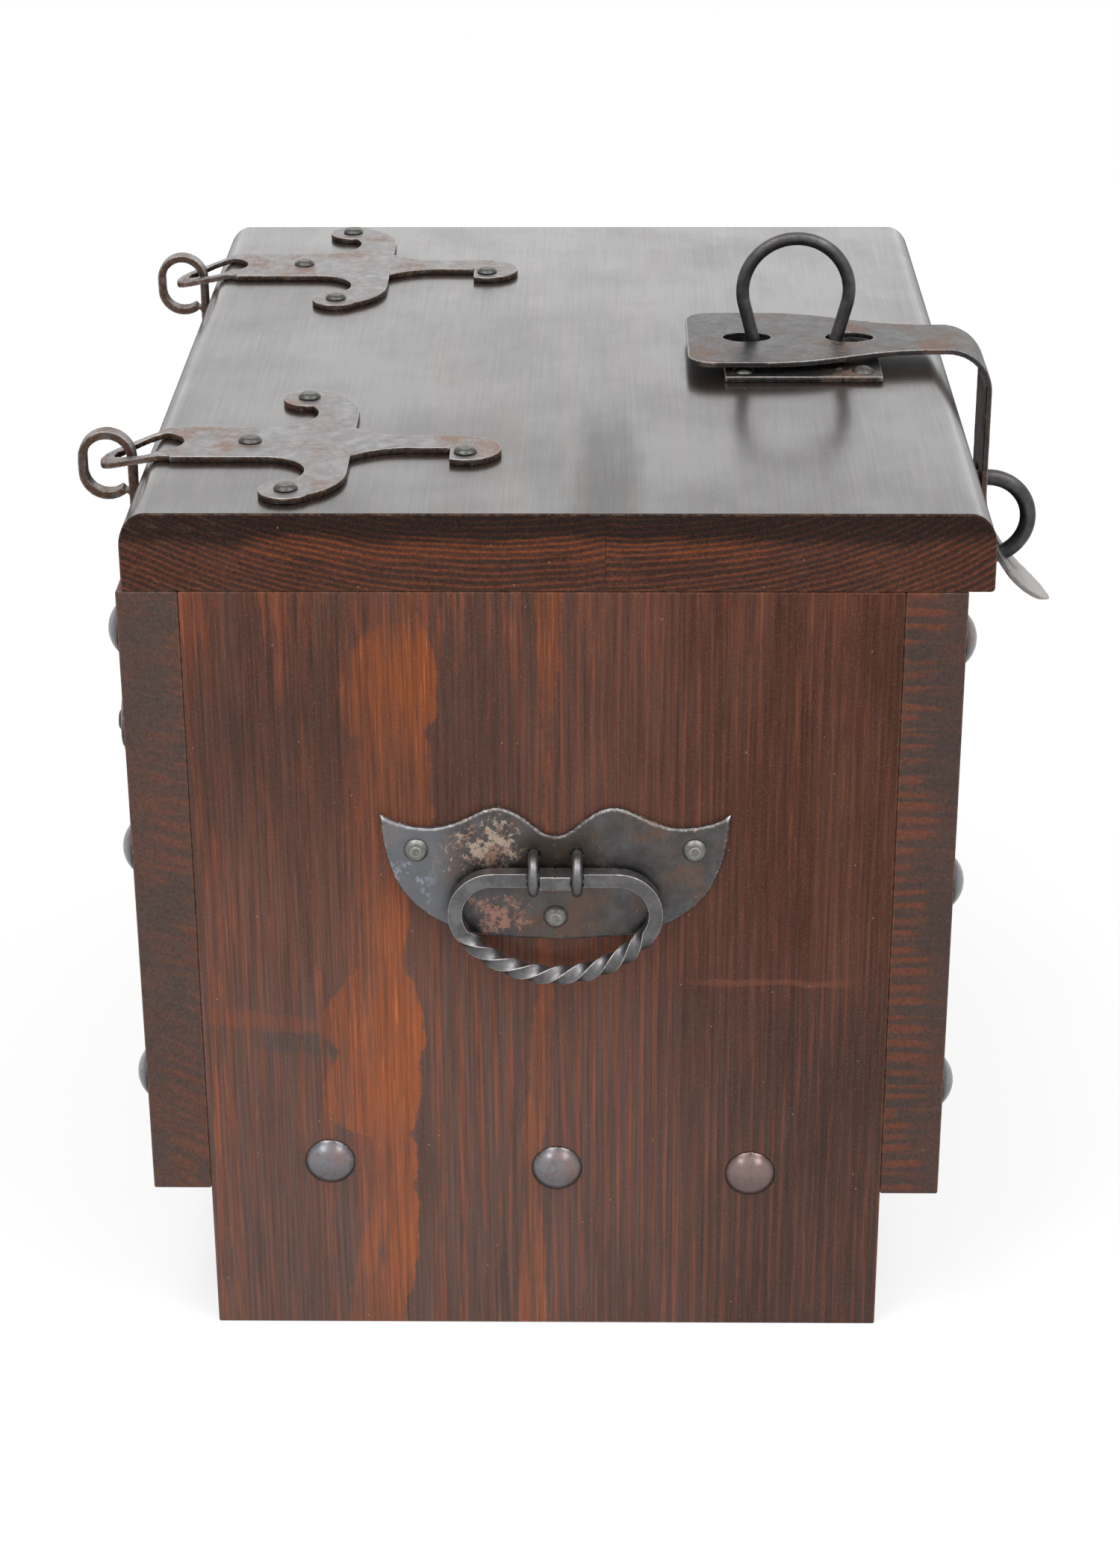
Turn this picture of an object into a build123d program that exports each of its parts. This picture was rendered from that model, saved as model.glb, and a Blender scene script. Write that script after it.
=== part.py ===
from build123d import *
import os
from math import asin, atan2, cos, radians, sin, tan

# Small boarded chest on two plank feet, with forged strap hinges, hasp and drop handles.
# X runs along the chest, the front faces -Y, Z is up, and the floor is at Z = 0.
# The origin is on the floor, in the middle of the space that the whole chest takes up.

# Boards of the box, in millimetres
chest_length = 375.0
chest_depth = 300.0
carcass_height = 306.5
end_board_thickness = 22.0
side_board_thickness = 22.0
front_board_rise = 59.5
back_board_rise = 61.0
bottom_board_thickness = 20.0
board_edge_radius = 0.8

# Lid of two glued boards
lid_thickness = 29.0
lid_front_overhang = 9.0
lid_back_setback = 2.2
lid_round_depth = 9.6
lid_round_height = 12.6
lid_lower_radius = 1.5
lid_front_board_depth = 136.5

# Large domed nails through the boards
dome_head_radius = 9.9
dome_head_height = 4.8
dome_shank_radius = 1.8
dome_nail_length = 38.0
end_nail_spread_shares = (0.64, -0.035, -0.61)
end_nail_height_shares = (0.62, 0.49, 0.38)
front_nail_height_shares = (0.913, 0.522, 0.18)
back_nail_height_shares = (0.927, 0.574, 0.187)
bottom_row_spread_shares = (-0.6, 0.0, 0.6)
bottom_row_height_share = 0.5

# Studs of the straps and handle plates, and flat rivets of the staple plates
stud_head_radius = 4.7
stud_head_height = 2.8
stud_shank_radius = 1.6
stud_length = 16.0
rivet_head_radius = 4.4
rivet_head_height = 2.0
rivet_shank_radius = 1.6
rivet_length = 15.0
nail_point_length = 3.0
nail_clearance = 0.05

# Strap hinges: a strap with two arms that curl back, and a tail with a hook
hinge_inset = 70.3
strap_width = 34.0
strap_thickness = 2.6
arm_front_reach = 77.8
arm_span = 122.6
arm_outer_radius = 27.3
arm_hollow_radius = 15.3
arm_root_width = 15.5
arm_end_radius = 10.0
arm_end_setback = 20.3
tail_width = 14.0
tail_flare_width = 31.0
tail_flare_length = 24.0
tail_length = 41.5
tail_sag_share = 0.33
hook_radius = 13.2
hook_drop = 7.0
hook_mouth = 5.7
hook_nail_drop = 5.0
strap_nail_reach = 40.0

# Eye at the rear of each lid strap, which droops over the lid's rounded edge
eye_tip_radius = 8.9
eye_tip_bar = 5.4
eye_root_radius = 15.8
eye_root_reach = 12.0
eye_hole_radius = 10.3
eye_hole_reach = 5.2
eye_bend_reach = 8.3
eye_droop_angle = 16.5

# Back strap of each hinge, whose bar is rolled into a ring through the eye
ring_bar_thickness = 3.3
ring_bar_width = 6.0
ring_radius = 9.1
ring_straight = 5.0
ring_sag = 1.1
ring_seam_gap = 0.3
neck_top_drop = 2.0
neck_root_reach = 36.0

# Hasp: a slotted head on the lid, a strap over the front and a flared tongue
hardware_offset = -3.0
hasp_thickness = 2.5
hasp_rest_gap = 0.2
hasp_head_width = 67.0
hasp_head_length = 30.0
hasp_taper_length = 66.0
hasp_corner_radius = 10.0
hasp_strap_width = 34.0
hasp_heel_setback = 95.5
hasp_standoff = 25.2
hasp_bend_radius = 18.0
hasp_drop = 57.7
tongue_flare_radius = 60.0
tongue_angle = 50.0
tongue_tip_length = 11.5
tongue_round_height = 18.0
head_slot_length = 19.0
head_slot_width = 12.5
rear_slot_start = 14.5
front_slot_start = 55.2

# Staples: the lid staple stands through the hasp's head, and the catch through its strap
lid_staple_wire_radius = 2.65
lid_staple_arch_radius = 21.0
lid_staple_arch_height = 23.5
lid_staple_setback = 43.0
lid_staple_lean = 15.0
catch_wire_radius = 3.3
catch_arch_radius = 17.0
catch_arch_height = 24.8
catch_drop = 39.8
catch_lean = 20.0
catch_slot_width = 11.0
catch_slot_above = 3.0
catch_slot_below = 3.2
staple_knee_height = 1.5
staple_knee_radius = 6.0
staple_shank_depth = 18.5
staple_plate_thickness = 2.5
staple_plate_length = 61.5
lid_plate_width = 74.5
lid_plate_shift = -2.0
catch_plate_width = 48.0
rivet_inset = 7.5

# Drop handle on each end: plate, two wire eyes and a bail with a twisted belly
handle_offset = -4.5
handle_rise = 198.0
handle_plate_drop = 27.8
handle_plate_height = 53.4
handle_plate_width = 127.2
handle_plate_thickness = 2.5
handle_rim_bevel = 0.8
handle_nail_spread_share = 0.796
handle_nail_height_share = 0.685
handle_low_nail_share = 0.18
eye_wire_radius = 2.0
eye_spacing = 15.9
eye_leg_spacing = 12.4
eye_shank_depth = 18.5
bail_bar = 5.4
bail_width = 78.6
bail_height = 45.4
bail_standoff = 4.7
bail_shoulder_radius = 14.0
bail_corner_radius = 14.0
bail_side_length = 0.4
bail_running_gap = 0.3
bail_stub_length = 2.6
bail_stub_gap = 0.7
bail_quarter_turns = 9
sections_per_quarter = 6

# Edge of the handle plate from its middle to its tip, then back along the underside
plate_upper_width_shares = (0.0, 0.105, 0.2, 0.338, 0.436, 0.55, 0.69, 0.824, 0.928, 1.0)
plate_upper_height_shares = (0.79, 0.848, 0.938, 1.0, 0.966, 0.895, 0.848, 0.858, 0.895, 0.946)
plate_lower_width_shares = (1.0, 0.973, 0.931, 0.862, 0.77, 0.657, 0.516, 0.25, 0.0)
plate_lower_height_shares = (0.946, 0.67, 0.492, 0.333, 0.217, 0.125, 0.049, 0.011, 0.0)

# One overrun serves every cut
overrun = 1.0

# Reach of the hinge rings and of the tongue, which set the chest's whole depth
ring_reach = 2 * ring_radius + ring_bar_thickness
tongue_turn = radians(tongue_angle)
tongue_curve_reach = tongue_flare_radius * (1 - cos(tongue_turn))
hasp_reach = hasp_standoff + tongue_curve_reach + tongue_tip_length * sin(tongue_turn)

# Faces of the boards
middle_y = (hasp_reach - ring_reach) / 2
front_y = middle_y - chest_depth / 2
back_y = middle_y + chest_depth / 2
inner_front_y = front_y + side_board_thickness
inner_back_y = back_y - side_board_thickness
right_x = chest_length / 2
inner_right_x = right_x - end_board_thickness
bottom_top_z = back_board_rise + bottom_board_thickness
lid_top_z = carcass_height + lid_thickness
lid_front_y = front_y - lid_front_overhang
lid_back_y = back_y - lid_back_setback
lid_glue_y = lid_front_y + lid_front_board_depth

# Lid hinge: the axis is the middle of the eye's tip bar, inside the ring
hinge_x = right_x - hinge_inset
droop = radians(eye_droop_angle)
axis_reach = lid_back_setback + ring_reach / 2
axis_y = lid_back_y + axis_reach
axis_z = lid_top_z - (eye_bend_reach + axis_reach) * tan(droop) + strap_thickness / 2 / cos(droop)
arm_end_reach = arm_front_reach - arm_end_setback
arm_end_offset = arm_span / 2 - arm_end_radius
hook_reach = arm_front_reach + tail_length
bar_foot_drop = strap_nail_reach - 2 * stud_head_radius

# Hasp, lid staple and catch
heel_y = front_y + hasp_heel_setback
hasp_bottom_z = lid_top_z + staple_plate_thickness + rivet_head_height + hasp_rest_gap
hasp_top_z = hasp_bottom_z + hasp_thickness
strap_face_y = front_y - hasp_standoff
flare_z = hasp_top_z - hasp_drop
tongue_tip_z = flare_z - tongue_flare_radius * sin(tongue_turn) - tongue_tip_length * cos(tongue_turn)
lid_staple_y = heel_y - lid_staple_setback
catch_z = carcass_height - catch_drop
catch_reach = catch_arch_radius + catch_wire_radius

# Handle: the bail's round journals hang in the bottom of the wire eyes
handle_y = middle_y + handle_offset
bail_axis_x = -right_x - handle_plate_thickness - bail_standoff
eye_play = eye_leg_spacing / 2 - eye_wire_radius - bail_bar / 2 - bail_running_gap
handle_plate_low_z = handle_rise - handle_plate_drop
eye_above_plate = handle_plate_drop + eye_play
journal_start = eye_spacing / 2 - eye_wire_radius - bail_running_gap
journal_end = eye_spacing / 2 + eye_wire_radius + bail_running_gap

# Middle line of the bail: the corner arc runs into the belly arc
bail_half_width = (bail_width - bail_bar) / 2
bail_drop = bail_height - bail_bar
corner_y = bail_half_width - bail_corner_radius
corner_z = -bail_shoulder_radius - bail_side_length
below_corner = bail_drop - bail_corner_radius
belly_rise = (corner_y ** 2 + corner_z ** 2 - below_corner ** 2) / (2 * (below_corner + corner_z))
belly_radius = belly_rise + bail_drop
belly_angle = asin(corner_y / (belly_radius - bail_corner_radius))


def spot(x, y, z, outward):
    """Location on a surface, with its Z axis pointing outward."""
    return Plane(origin=(x, y, z), z_dir=outward).location


def box_between(low, high):
    """Box from its lowest to its highest corner."""
    size = [b - a for a, b in zip(low, high)]
    return Pos(*low) * Box(*size, align=(Align.MIN, Align.MIN, Align.MIN))


def span(low_u, high_u, low_v, high_v):
    """Rectangle between two corners."""
    return Pos((low_u + high_u) / 2, (low_v + high_v) / 2) * Rectangle(high_u - low_u, high_v - low_v)


def half_turned(shape):
    """The same piece on the other end, turned about the chest's upright middle line."""
    return Pos(0, 2 * middle_y, 0) * Rot(0, 0, 180) * shape


# Nails, studs and rivets

def nail(place, head_radius, head_height, shank_radius, length):
    """Domed head on the place's surface, and a pointed shank that runs in below it."""
    ball = (head_radius ** 2 + head_height ** 2) / (2 * head_height)
    half_angle = atan2(head_radius, ball - head_height) / 2
    halfway = (ball * sin(half_angle), head_height - ball * (1 - cos(half_angle)))
    dome = ThreePointArc((head_radius, 0), halfway, (0, head_height))
    sides = Polyline((0, head_height), (0, -length), (shank_radius, nail_point_length - length),
                     (shank_radius, 0), (head_radius, 0))
    profile = make_face([*sides.edges(), dome.edge()])
    return place * revolve(Plane.XZ * profile, Axis.Z)


def bore(place, radius, length):
    """Hole for a shank, from a little above the place's surface to below the point."""
    deep = length + 2 * overrun
    hole = Cylinder(radius + nail_clearance, deep, align=(Align.CENTER, Align.CENTER, Align.MAX))
    return place * Pos(0, 0, overrun) * hole


def dome_nails(places):
    return [nail(p, dome_head_radius, dome_head_height, dome_shank_radius, dome_nail_length) for p in places]


def dome_bores(places):
    return [bore(p, dome_shank_radius, dome_nail_length) for p in places]


def studs(places):
    return [nail(p, stud_head_radius, stud_head_height, stud_shank_radius, stud_length) for p in places]


def stud_bores(places):
    return [bore(p, stud_shank_radius, stud_length) for p in places]


def rivets(places):
    return [nail(p, rivet_head_radius, rivet_head_height, rivet_shank_radius, rivet_length) for p in places]


def rivet_bores(places):
    return [bore(p, rivet_shank_radius, rivet_length) for p in places]


def end_nail_places():
    """Row of nails through the left end board into the edge of the bottom board."""
    half = inner_back_y - middle_y
    shares = zip(end_nail_spread_shares, end_nail_height_shares)
    return [spot(-right_x, middle_y + a * half, back_board_rise + b * bottom_board_thickness, (-1, 0, 0))
            for a, b in shares]


def side_nail_places(face_y, outward, rise, height_shares):
    """Nails of a side board: a column into each end board and a row into the bottom board."""
    corner_x = right_x - end_board_thickness / 2
    height = carcass_height - rise
    row_z = back_board_rise + bottom_row_height_share * bottom_board_thickness
    columns = [(side * corner_x, rise + share * height) for side in (-1, 1) for share in height_shares]
    row = [(share * inner_right_x, row_z) for share in bottom_row_spread_shares]
    return [spot(x, face_y, z, (0, outward, 0)) for x, z in columns + row]


# Boards

def board(low, high):
    """Plank with slightly worn edges."""
    solid = box_between(low, high)
    return fillet(solid.edges(), board_edge_radius)


def end_board():
    low = (-right_x, inner_front_y, 0)
    return board(low, (-inner_right_x, inner_back_y, carcass_height))


def front_board():
    low = (-right_x, front_y, front_board_rise)
    return board(low, (right_x, inner_front_y, carcass_height))


def back_board():
    low = (-right_x, inner_back_y, back_board_rise)
    return board(low, (right_x, back_y, carcass_height))


def bottom_board():
    low = (-inner_right_x, inner_front_y, back_board_rise)
    return board(low, (inner_right_x, inner_back_y, bottom_top_z))


def lid_blank():
    """Both lid boards in one: worn lower edges and broadly rounded upper long edges."""
    depth = lid_back_y - lid_front_y
    lower = span(lid_front_y, lid_back_y, carcass_height, lid_top_z - lid_round_height)
    lower = fillet(lower.vertices().sort_by(Axis.Y)[:2], lid_lower_radius)
    upper = span(lid_front_y + lid_round_depth, lid_back_y - lid_round_depth,
                 lid_top_z - lid_round_height - overrun, lid_top_z)
    corner = Ellipse(lid_round_depth, lid_round_height)
    profile = lower + upper
    for y in (lid_front_y + lid_round_depth, lid_front_y + depth - lid_round_depth):
        profile = profile + Pos(y, lid_top_z - lid_round_height) * corner
    blank = extrude(Plane.YZ * profile, amount=right_x, both=True)
    ends = [*blank.edges().group_by(Axis.X)[0], *blank.edges().group_by(Axis.X)[-1]]
    return fillet(ends, board_edge_radius)


def lid_boards(blank):
    """Front and back board of the lid, parted at the glue line."""
    low = (-right_x - overrun, lid_glue_y, carcass_height - overrun)
    rear_part = box_between(low, (right_x + overrun, lid_back_y + overrun, lid_top_z + overrun))
    return blank - rear_part, blank & rear_part


# Strap hinges. Local X runs along a strap, and its tail hooks towards local -Y

def strap_outline(start):
    """Strap from its start to the hooked tail, with two arms that curl back."""
    half = strap_width / 2
    arm_u = arm_front_reach - arm_outer_radius
    arm_v = arm_span / 2 - arm_outer_radius
    hollow_u = arm_front_reach - arm_root_width - arm_hollow_radius
    disc = Pos(arm_u, arm_v) * Circle(arm_outer_radius)
    inner_part = disc & span(hollow_u, arm_front_reach, 0, arm_v)
    shoulder = span(arm_u, arm_front_reach, 0, arm_v)
    crook = disc & span(arm_end_reach, arm_front_reach, 0, arm_span)
    hollow = Pos(hollow_u, half + arm_hollow_radius) * Circle(arm_hollow_radius)
    tip = Pos(arm_end_reach, arm_end_offset) * Circle(arm_end_radius)
    arm = inner_part + shoulder + crook - hollow + tip
    return span(start, arm_front_reach, -half, half) + arm + mirror(arm, Plane.XZ) + strap_tail()


def strap_tail():
    """Narrow tail that flares into the strap and ends in a hook."""
    half = tail_width / 2
    half_flare = tail_flare_width / 2
    flare_end = arm_front_reach + tail_flare_length
    sag_u = arm_front_reach + tail_sag_share * tail_flare_length
    sag_v = half + tail_sag_share * (half_flare - half)
    flank = ThreePointArc((arm_front_reach, half_flare), (sag_u, sag_v), (flare_end, half)).edge()
    sides = [flank, Line((flare_end, half), (hook_reach, half)).edge()]
    sides += [edge.mirror(Plane.XZ) for edge in sides]
    ends = [Line((u, v), (u, -v)).edge() for u, v in ((arm_front_reach, half_flare), (hook_reach, half))]
    hook = Pos(hook_reach, -hook_drop) * Circle(hook_radius)
    inner_side = span(hook_reach - hook_radius, hook_reach - hook_mouth, -hook_drop - hook_radius, hook_radius)
    return make_face(sides + ends) + (hook - inner_side)


def teardrop(root_u, root_radius, tip_u, tip_radius):
    """Round root and smaller round tip, joined by straight sides."""
    root = Pos(root_u, 0) * Circle(root_radius)
    tip = Pos(tip_u, 0) * Circle(tip_radius)
    return make_hull([*root.edges(), *tip.edges()])


def strap_nail_places(place):
    """Middle nail, the two arm nails and the tail nail, on the strap's upper face."""
    points = [(strap_nail_reach, 0), (arm_end_reach, arm_end_offset), (arm_end_reach, -arm_end_offset),
              (hook_reach, -hook_drop - hook_nail_drop)]
    return [place * Pos(u, v, strap_thickness) for u, v in points]


def lid_strap_place(x):
    """X forwards from the lid's rear edge, Z up from the lid."""
    return Plane(origin=(x, lid_back_y, lid_top_z), x_dir=(0, -1, 0), z_dir=(0, 0, 1)).location


def back_strap_place(x):
    """X down from the top of the back board, Z out of its face."""
    return Plane(origin=(x, back_y, carcass_height), x_dir=(0, 0, -1), z_dir=(0, 1, 0)).location


def lid_strap(x):
    """Lid half of a hinge: it lies flat on the lid and its eye droops behind the lid."""
    tip_reach = axis_reach + eye_tip_bar / 2
    tip_u = eye_tip_radius - tip_reach
    outline = strap_outline(eye_root_reach) + teardrop(eye_root_reach, eye_root_radius, tip_u, eye_tip_radius)
    outline = outline - teardrop(eye_hole_reach, eye_hole_radius, tip_u, eye_tip_radius - eye_tip_bar)
    front = hook_reach + hook_radius + overrun
    rear = tip_reach + overrun
    fall = (eye_bend_reach + rear) * tan(droop)
    bend_top = eye_bend_reach - strap_thickness * tan(droop / 2)
    side = Polyline((front, 0), (eye_bend_reach, 0), (-rear, -fall), (-rear, strap_thickness / cos(droop) - fall),
                    (bend_top, strap_thickness), (front, strap_thickness), close=True)
    band = extrude(Plane.XZ * make_face(side.edges()), amount=arm_span, both=True)
    blank = extrude(outline, amount=fall + strap_thickness, both=True)
    strap = band & blank
    return lid_strap_place(x) * strap


def back_strap(x):
    """Back half of a hinge: its bar runs up from the strap and rolls into a ring."""
    half_bar = ring_bar_width / 2
    neck = teardrop(neck_root_reach, strap_width / 2, neck_top_drop + half_bar, half_bar)
    strap = extrude(strap_outline(neck_root_reach) + neck, amount=strap_thickness)
    return back_strap_place(x) * strap + ring(x)


def ring(x):
    """Bar up the back board's face, rolled over outward and closed under itself."""
    bar_y = back_y + ring_bar_thickness / 2
    centre_y = bar_y + ring_radius
    high = axis_z - ring_sag + ring_straight / 2
    low = high - ring_straight
    seam = asin((ring_radius - ring_bar_thickness / 2 - ring_seam_gap) / (ring_radius + ring_bar_thickness / 2))
    foot = (x, bar_y, carcass_height - bar_foot_drop)
    end = (x, centre_y - ring_radius * sin(seam), low - ring_radius * cos(seam))
    stem = Line(foot, (x, bar_y, high))
    over = ThreePointArc((x, bar_y, high), (x, centre_y, high + ring_radius), (x, centre_y + ring_radius, high))
    side = Line(over @ 1, (x, centre_y + ring_radius, low))
    under = TangentArc(side @ 1, end, tangent=side % 1)
    path = Wire([stem.edge(), over.edge(), side.edge(), under.edge()])
    section = Plane(origin=foot, z_dir=(0, 0, 1)) * Rectangle(ring_bar_width, ring_bar_thickness)
    return sweep(section, path=path)


# Hasp

def hasp_side_line(inset):
    """Line of the hasp seen from the side, inset from its outer face."""
    face_y = strap_face_y + inset
    flare = tongue_flare_radius + inset
    top = Line((0, heel_y, hasp_top_z - inset), (0, strap_face_y + hasp_bend_radius, hasp_top_z - inset))
    bend = TangentArc(top @ 1, (0, face_y, hasp_top_z - hasp_bend_radius), tangent=top % 1)
    fall = Line(bend @ 1, (0, face_y, flare_z))
    flare_end = (0, face_y - flare * (1 - cos(tongue_turn)), flare_z - flare * sin(tongue_turn))
    curve = TangentArc(fall @ 1, flare_end, tangent=fall % 1)
    run = tongue_tip_length + hasp_thickness
    tip = Line(curve @ 1, curve @ 1 - Vector(0, run * sin(tongue_turn), run * cos(tongue_turn)))
    return [top, bend, fall, curve, tip]


def hasp_plan():
    """Hasp seen from above: broad head with round rear corners, tapering to the strap."""
    half_head = hasp_head_width / 2
    half_strap = hasp_strap_width / 2
    taper_start = heel_y - hasp_head_length
    taper_end = taper_start - hasp_taper_length
    front = front_y - hasp_reach - overrun
    flank = Spline((half_head, taper_start), (half_strap, taper_end), tangents=[(0, -1), (0, -1)])
    rear = Polyline((0, heel_y), (half_head, heel_y), (half_head, taper_start))
    end = Polyline((half_strap, taper_end), (half_strap, front), (0, front))
    edges = [*rear.edges(), flank.edge(), *end.edges()]
    edges += [edge.mirror(Plane.YZ) for edge in edges]
    outline = Sketch() + make_face(edges)
    corners = outline.vertices().group_by(Axis.Y)[-1]
    outer_corners = [corner for corner in corners if abs(corner.X) > half_strap]
    return Pos(hardware_offset, 0) * fillet(outer_corners, hasp_corner_radius)


def hasp_front():
    """Hasp seen from the front: a round end on the tongue."""
    centre_z = tongue_tip_z + tongue_round_height
    above = hasp_top_z + overrun - centre_z
    round_end = Ellipse(hasp_strap_width / 2, tongue_round_height)
    upper = Rectangle(hasp_head_width, above, align=(Align.CENTER, Align.MIN))
    return Pos(hardware_offset, centre_z) * (round_end + upper)


def hasp_slots():
    """Two oval slots for the lid staple's legs, and a long one for the catch."""
    oval = Ellipse(head_slot_width / 2, head_slot_length / 2)
    tools = []
    for start in (rear_slot_start, front_slot_start):
        place = Pos(hardware_offset, heel_y - start - head_slot_length / 2, hasp_bottom_z - overrun)
        tools.append(place * extrude(oval, amount=hasp_thickness + 2 * overrun))
    high = catch_z + catch_reach + catch_slot_above
    low = catch_z - catch_reach - catch_slot_below
    long_slot = extrude(Plane.XZ * SlotOverall(high - low, catch_slot_width, rotation=90), amount=hasp_reach)
    tools.append(Pos(hardware_offset, front_y, (high + low) / 2) * long_slot)
    return tools


def hasp():
    """Forged in one piece: its side line, its plan and its round end cut out one band."""
    outer = hasp_side_line(0)
    inner = hasp_side_line(hasp_thickness)
    heel = Line(outer[0] @ 0, inner[0] @ 0)
    tip = Line(outer[-1] @ 1, inner[-1] @ 1)
    profile = make_face([line.edge() for line in (*outer, tip, *inner, heel)])
    band = extrude(profile, amount=hasp_head_width, dir=(1, 0, 0), both=True)
    above = extrude(hasp_plan(), amount=hasp_top_z + overrun)
    before = extrude(Plane.XZ * hasp_front(), amount=hasp_reach - front_y)
    behind = Pos(0, heel_y + overrun, 0) * before
    return (band & above & behind) - hasp_slots()


# Staples. Local Z stands out of the plate's face, and the legs spread along local Y

def staple_foot(arch_radius, arch_height, lean):
    """Distance of a leg's foot from the staple's middle."""
    slant = radians(lean)
    shoulder = arch_height - arch_radius * sin(slant)
    return arch_radius * cos(slant) - (shoulder - staple_knee_height) * tan(slant)


def staple(arch_radius, arch_height, lean, wire_radius):
    """Horseshoe of round wire, whose legs lean in to a knee and run on as two shanks."""
    slant = radians(lean)
    foot = staple_foot(arch_radius, arch_height, lean)
    side = arch_radius * cos(slant)
    shoulder = arch_height - arch_radius * sin(slant)
    run = staple_knee_radius * tan(slant / 2)
    shank = Line((0, foot, -staple_shank_depth), (0, foot, staple_knee_height - run))
    knee_end = (0, foot + run * sin(slant), staple_knee_height + run * cos(slant))
    knee = TangentArc(shank @ 1, knee_end, tangent=shank % 1)
    leg = Line(knee @ 1, (0, side, shoulder))
    arch = ThreePointArc((0, side, shoulder), (0, 0, arch_height + arch_radius), (0, -side, shoulder))
    half = [shank.edge(), knee.edge(), leg.edge()]
    path = Wire([*half, arch.edge(), *[edge.mirror(Plane.XZ) for edge in half]])
    section = Plane(origin=(0, foot, -staple_shank_depth), z_dir=(0, 0, 1)) * Circle(wire_radius)
    return sweep(section, path=path)


def staple_bores(foot, wire_radius):
    """Holes for a staple's two shanks through its plate and into the board."""
    return [bore(Pos(0, side * foot, 0), wire_radius, staple_shank_depth) for side in (1, -1)]


def plate_rivet_places(width):
    """The four corners of a staple plate."""
    u = width / 2 - rivet_inset
    v = staple_plate_length / 2 - rivet_inset
    return [Pos(a * u, b * v, 0) for a in (-1, 1) for b in (-1, 1)]


def staple_plate(width):
    """Flat plate whose upper face is at local zero."""
    tall = (Align.CENTER, Align.CENTER, Align.MAX)
    return Box(width, staple_plate_length, staple_plate_thickness, align=tall)


# Handles, made for the left end. Local X runs to the front, local Y up, local Z outward

def handle_place():
    """Middle of the plate's lower edge, on the end board."""
    origin = (-right_x, handle_y, handle_plate_low_z)
    return Plane(origin=origin, x_dir=(0, -1, 0), z_dir=(-1, 0, 0)).location


def plate_edge(width_shares, height_shares, start_way, end_way):
    """Smooth edge of the plate through points given as shares of its half width and height."""
    half = handle_plate_width / 2
    points = [(a * half, b * handle_plate_height) for a, b in zip(width_shares, height_shares)]
    return Spline(points, tangents=[start_way, end_way]).edge()


def handle_plate():
    """Plate with a notch in its upper edge, two pointed ends and a bevelled rim."""
    upper = plate_edge(plate_upper_width_shares, plate_upper_height_shares, (1, 0), (1, 0.6))
    lower = plate_edge(plate_lower_width_shares, plate_lower_height_shares, (-0.1, -1), (-1, 0))
    edges = [upper, lower]
    edges += [edge.mirror(Plane.YZ) for edge in edges]
    plate = extrude(make_face(edges), amount=handle_plate_thickness)
    rim = plate.faces().sort_by(Axis.Z)[-1].edges()
    return chamfer(rim, handle_rim_bevel)


def handle_nail_places():
    """One nail near each tip of the plate and one near its lower edge."""
    high = handle_nail_height_share * handle_plate_height
    wide = handle_nail_spread_share * handle_plate_width / 2
    points = [(wide, high), (-wide, high), (0, handle_low_nail_share * handle_plate_height)]
    return [handle_place() * Pos(u, v, handle_plate_thickness) for u, v in points]


def eye_leg_places():
    """Feet of the wire eyes' legs on the plate's outer face."""
    half = eye_leg_spacing / 2
    return [handle_place() * Pos(a * eye_spacing / 2, eye_above_plate + b * half, handle_plate_thickness)
            for a in (-1, 1) for b in (-1, 1)]


def wire_eye():
    """U of round wire in the local YZ plane, with its bend around the bail's journal."""
    half = eye_leg_spacing / 2
    leg = Line((0, -half, -eye_shank_depth), (0, -half, bail_standoff))
    bend = ThreePointArc((0, -half, bail_standoff), (0, 0, bail_standoff + half), (0, half, bail_standoff))
    other = Line((0, half, bail_standoff), (0, half, -eye_shank_depth))
    section = Plane(origin=(0, -half, -eye_shank_depth), z_dir=(0, 0, 1)) * Circle(eye_wire_radius)
    return sweep(section, path=Wire([leg.edge(), bend.edge(), other.edge()]))


def wire_eyes():
    return [handle_place() * Pos(side * eye_spacing / 2, eye_above_plate, handle_plate_thickness) * wire_eye()
            for side in (-1, 1)]


def bail():
    """Drop handle of square bar in its own frame: the axis is local Y, and it hangs down."""
    half = bail_bar / 2
    start = (0, journal_end, 0)
    belly_end = (0, belly_radius * sin(belly_angle), belly_rise - belly_radius * cos(belly_angle))
    top = Line(start, (0, bail_half_width - bail_shoulder_radius, 0))
    shoulder = TangentArc(top @ 1, (0, bail_half_width, -bail_shoulder_radius), tangent=top % 1)
    side = Line(shoulder @ 1, (0, bail_half_width, corner_z))
    corner = TangentArc(side @ 1, belly_end, tangent=side % 1)
    path = Wire([line.edge() for line in (top, shoulder, side, corner)])
    section = Plane(origin=start, x_dir=(1, 0, 0), z_dir=(0, 1, 0)) * Rectangle(bail_bar, bail_bar)
    journal = Cylinder(half, journal_end - journal_start, align=(Align.CENTER, Align.CENTER, Align.MIN))
    journal = Pos(0, journal_start, 0) * Rot(-90, 0, 0) * journal
    stub_low = (-half - bail_stub_length, bail_stub_gap / 2, -half)
    stub = box_between(stub_low, (half, journal_start, half))
    arm = sweep(section, path=path) + journal + stub
    return arm + mirror(arm, Plane.XZ) + belly()


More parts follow.
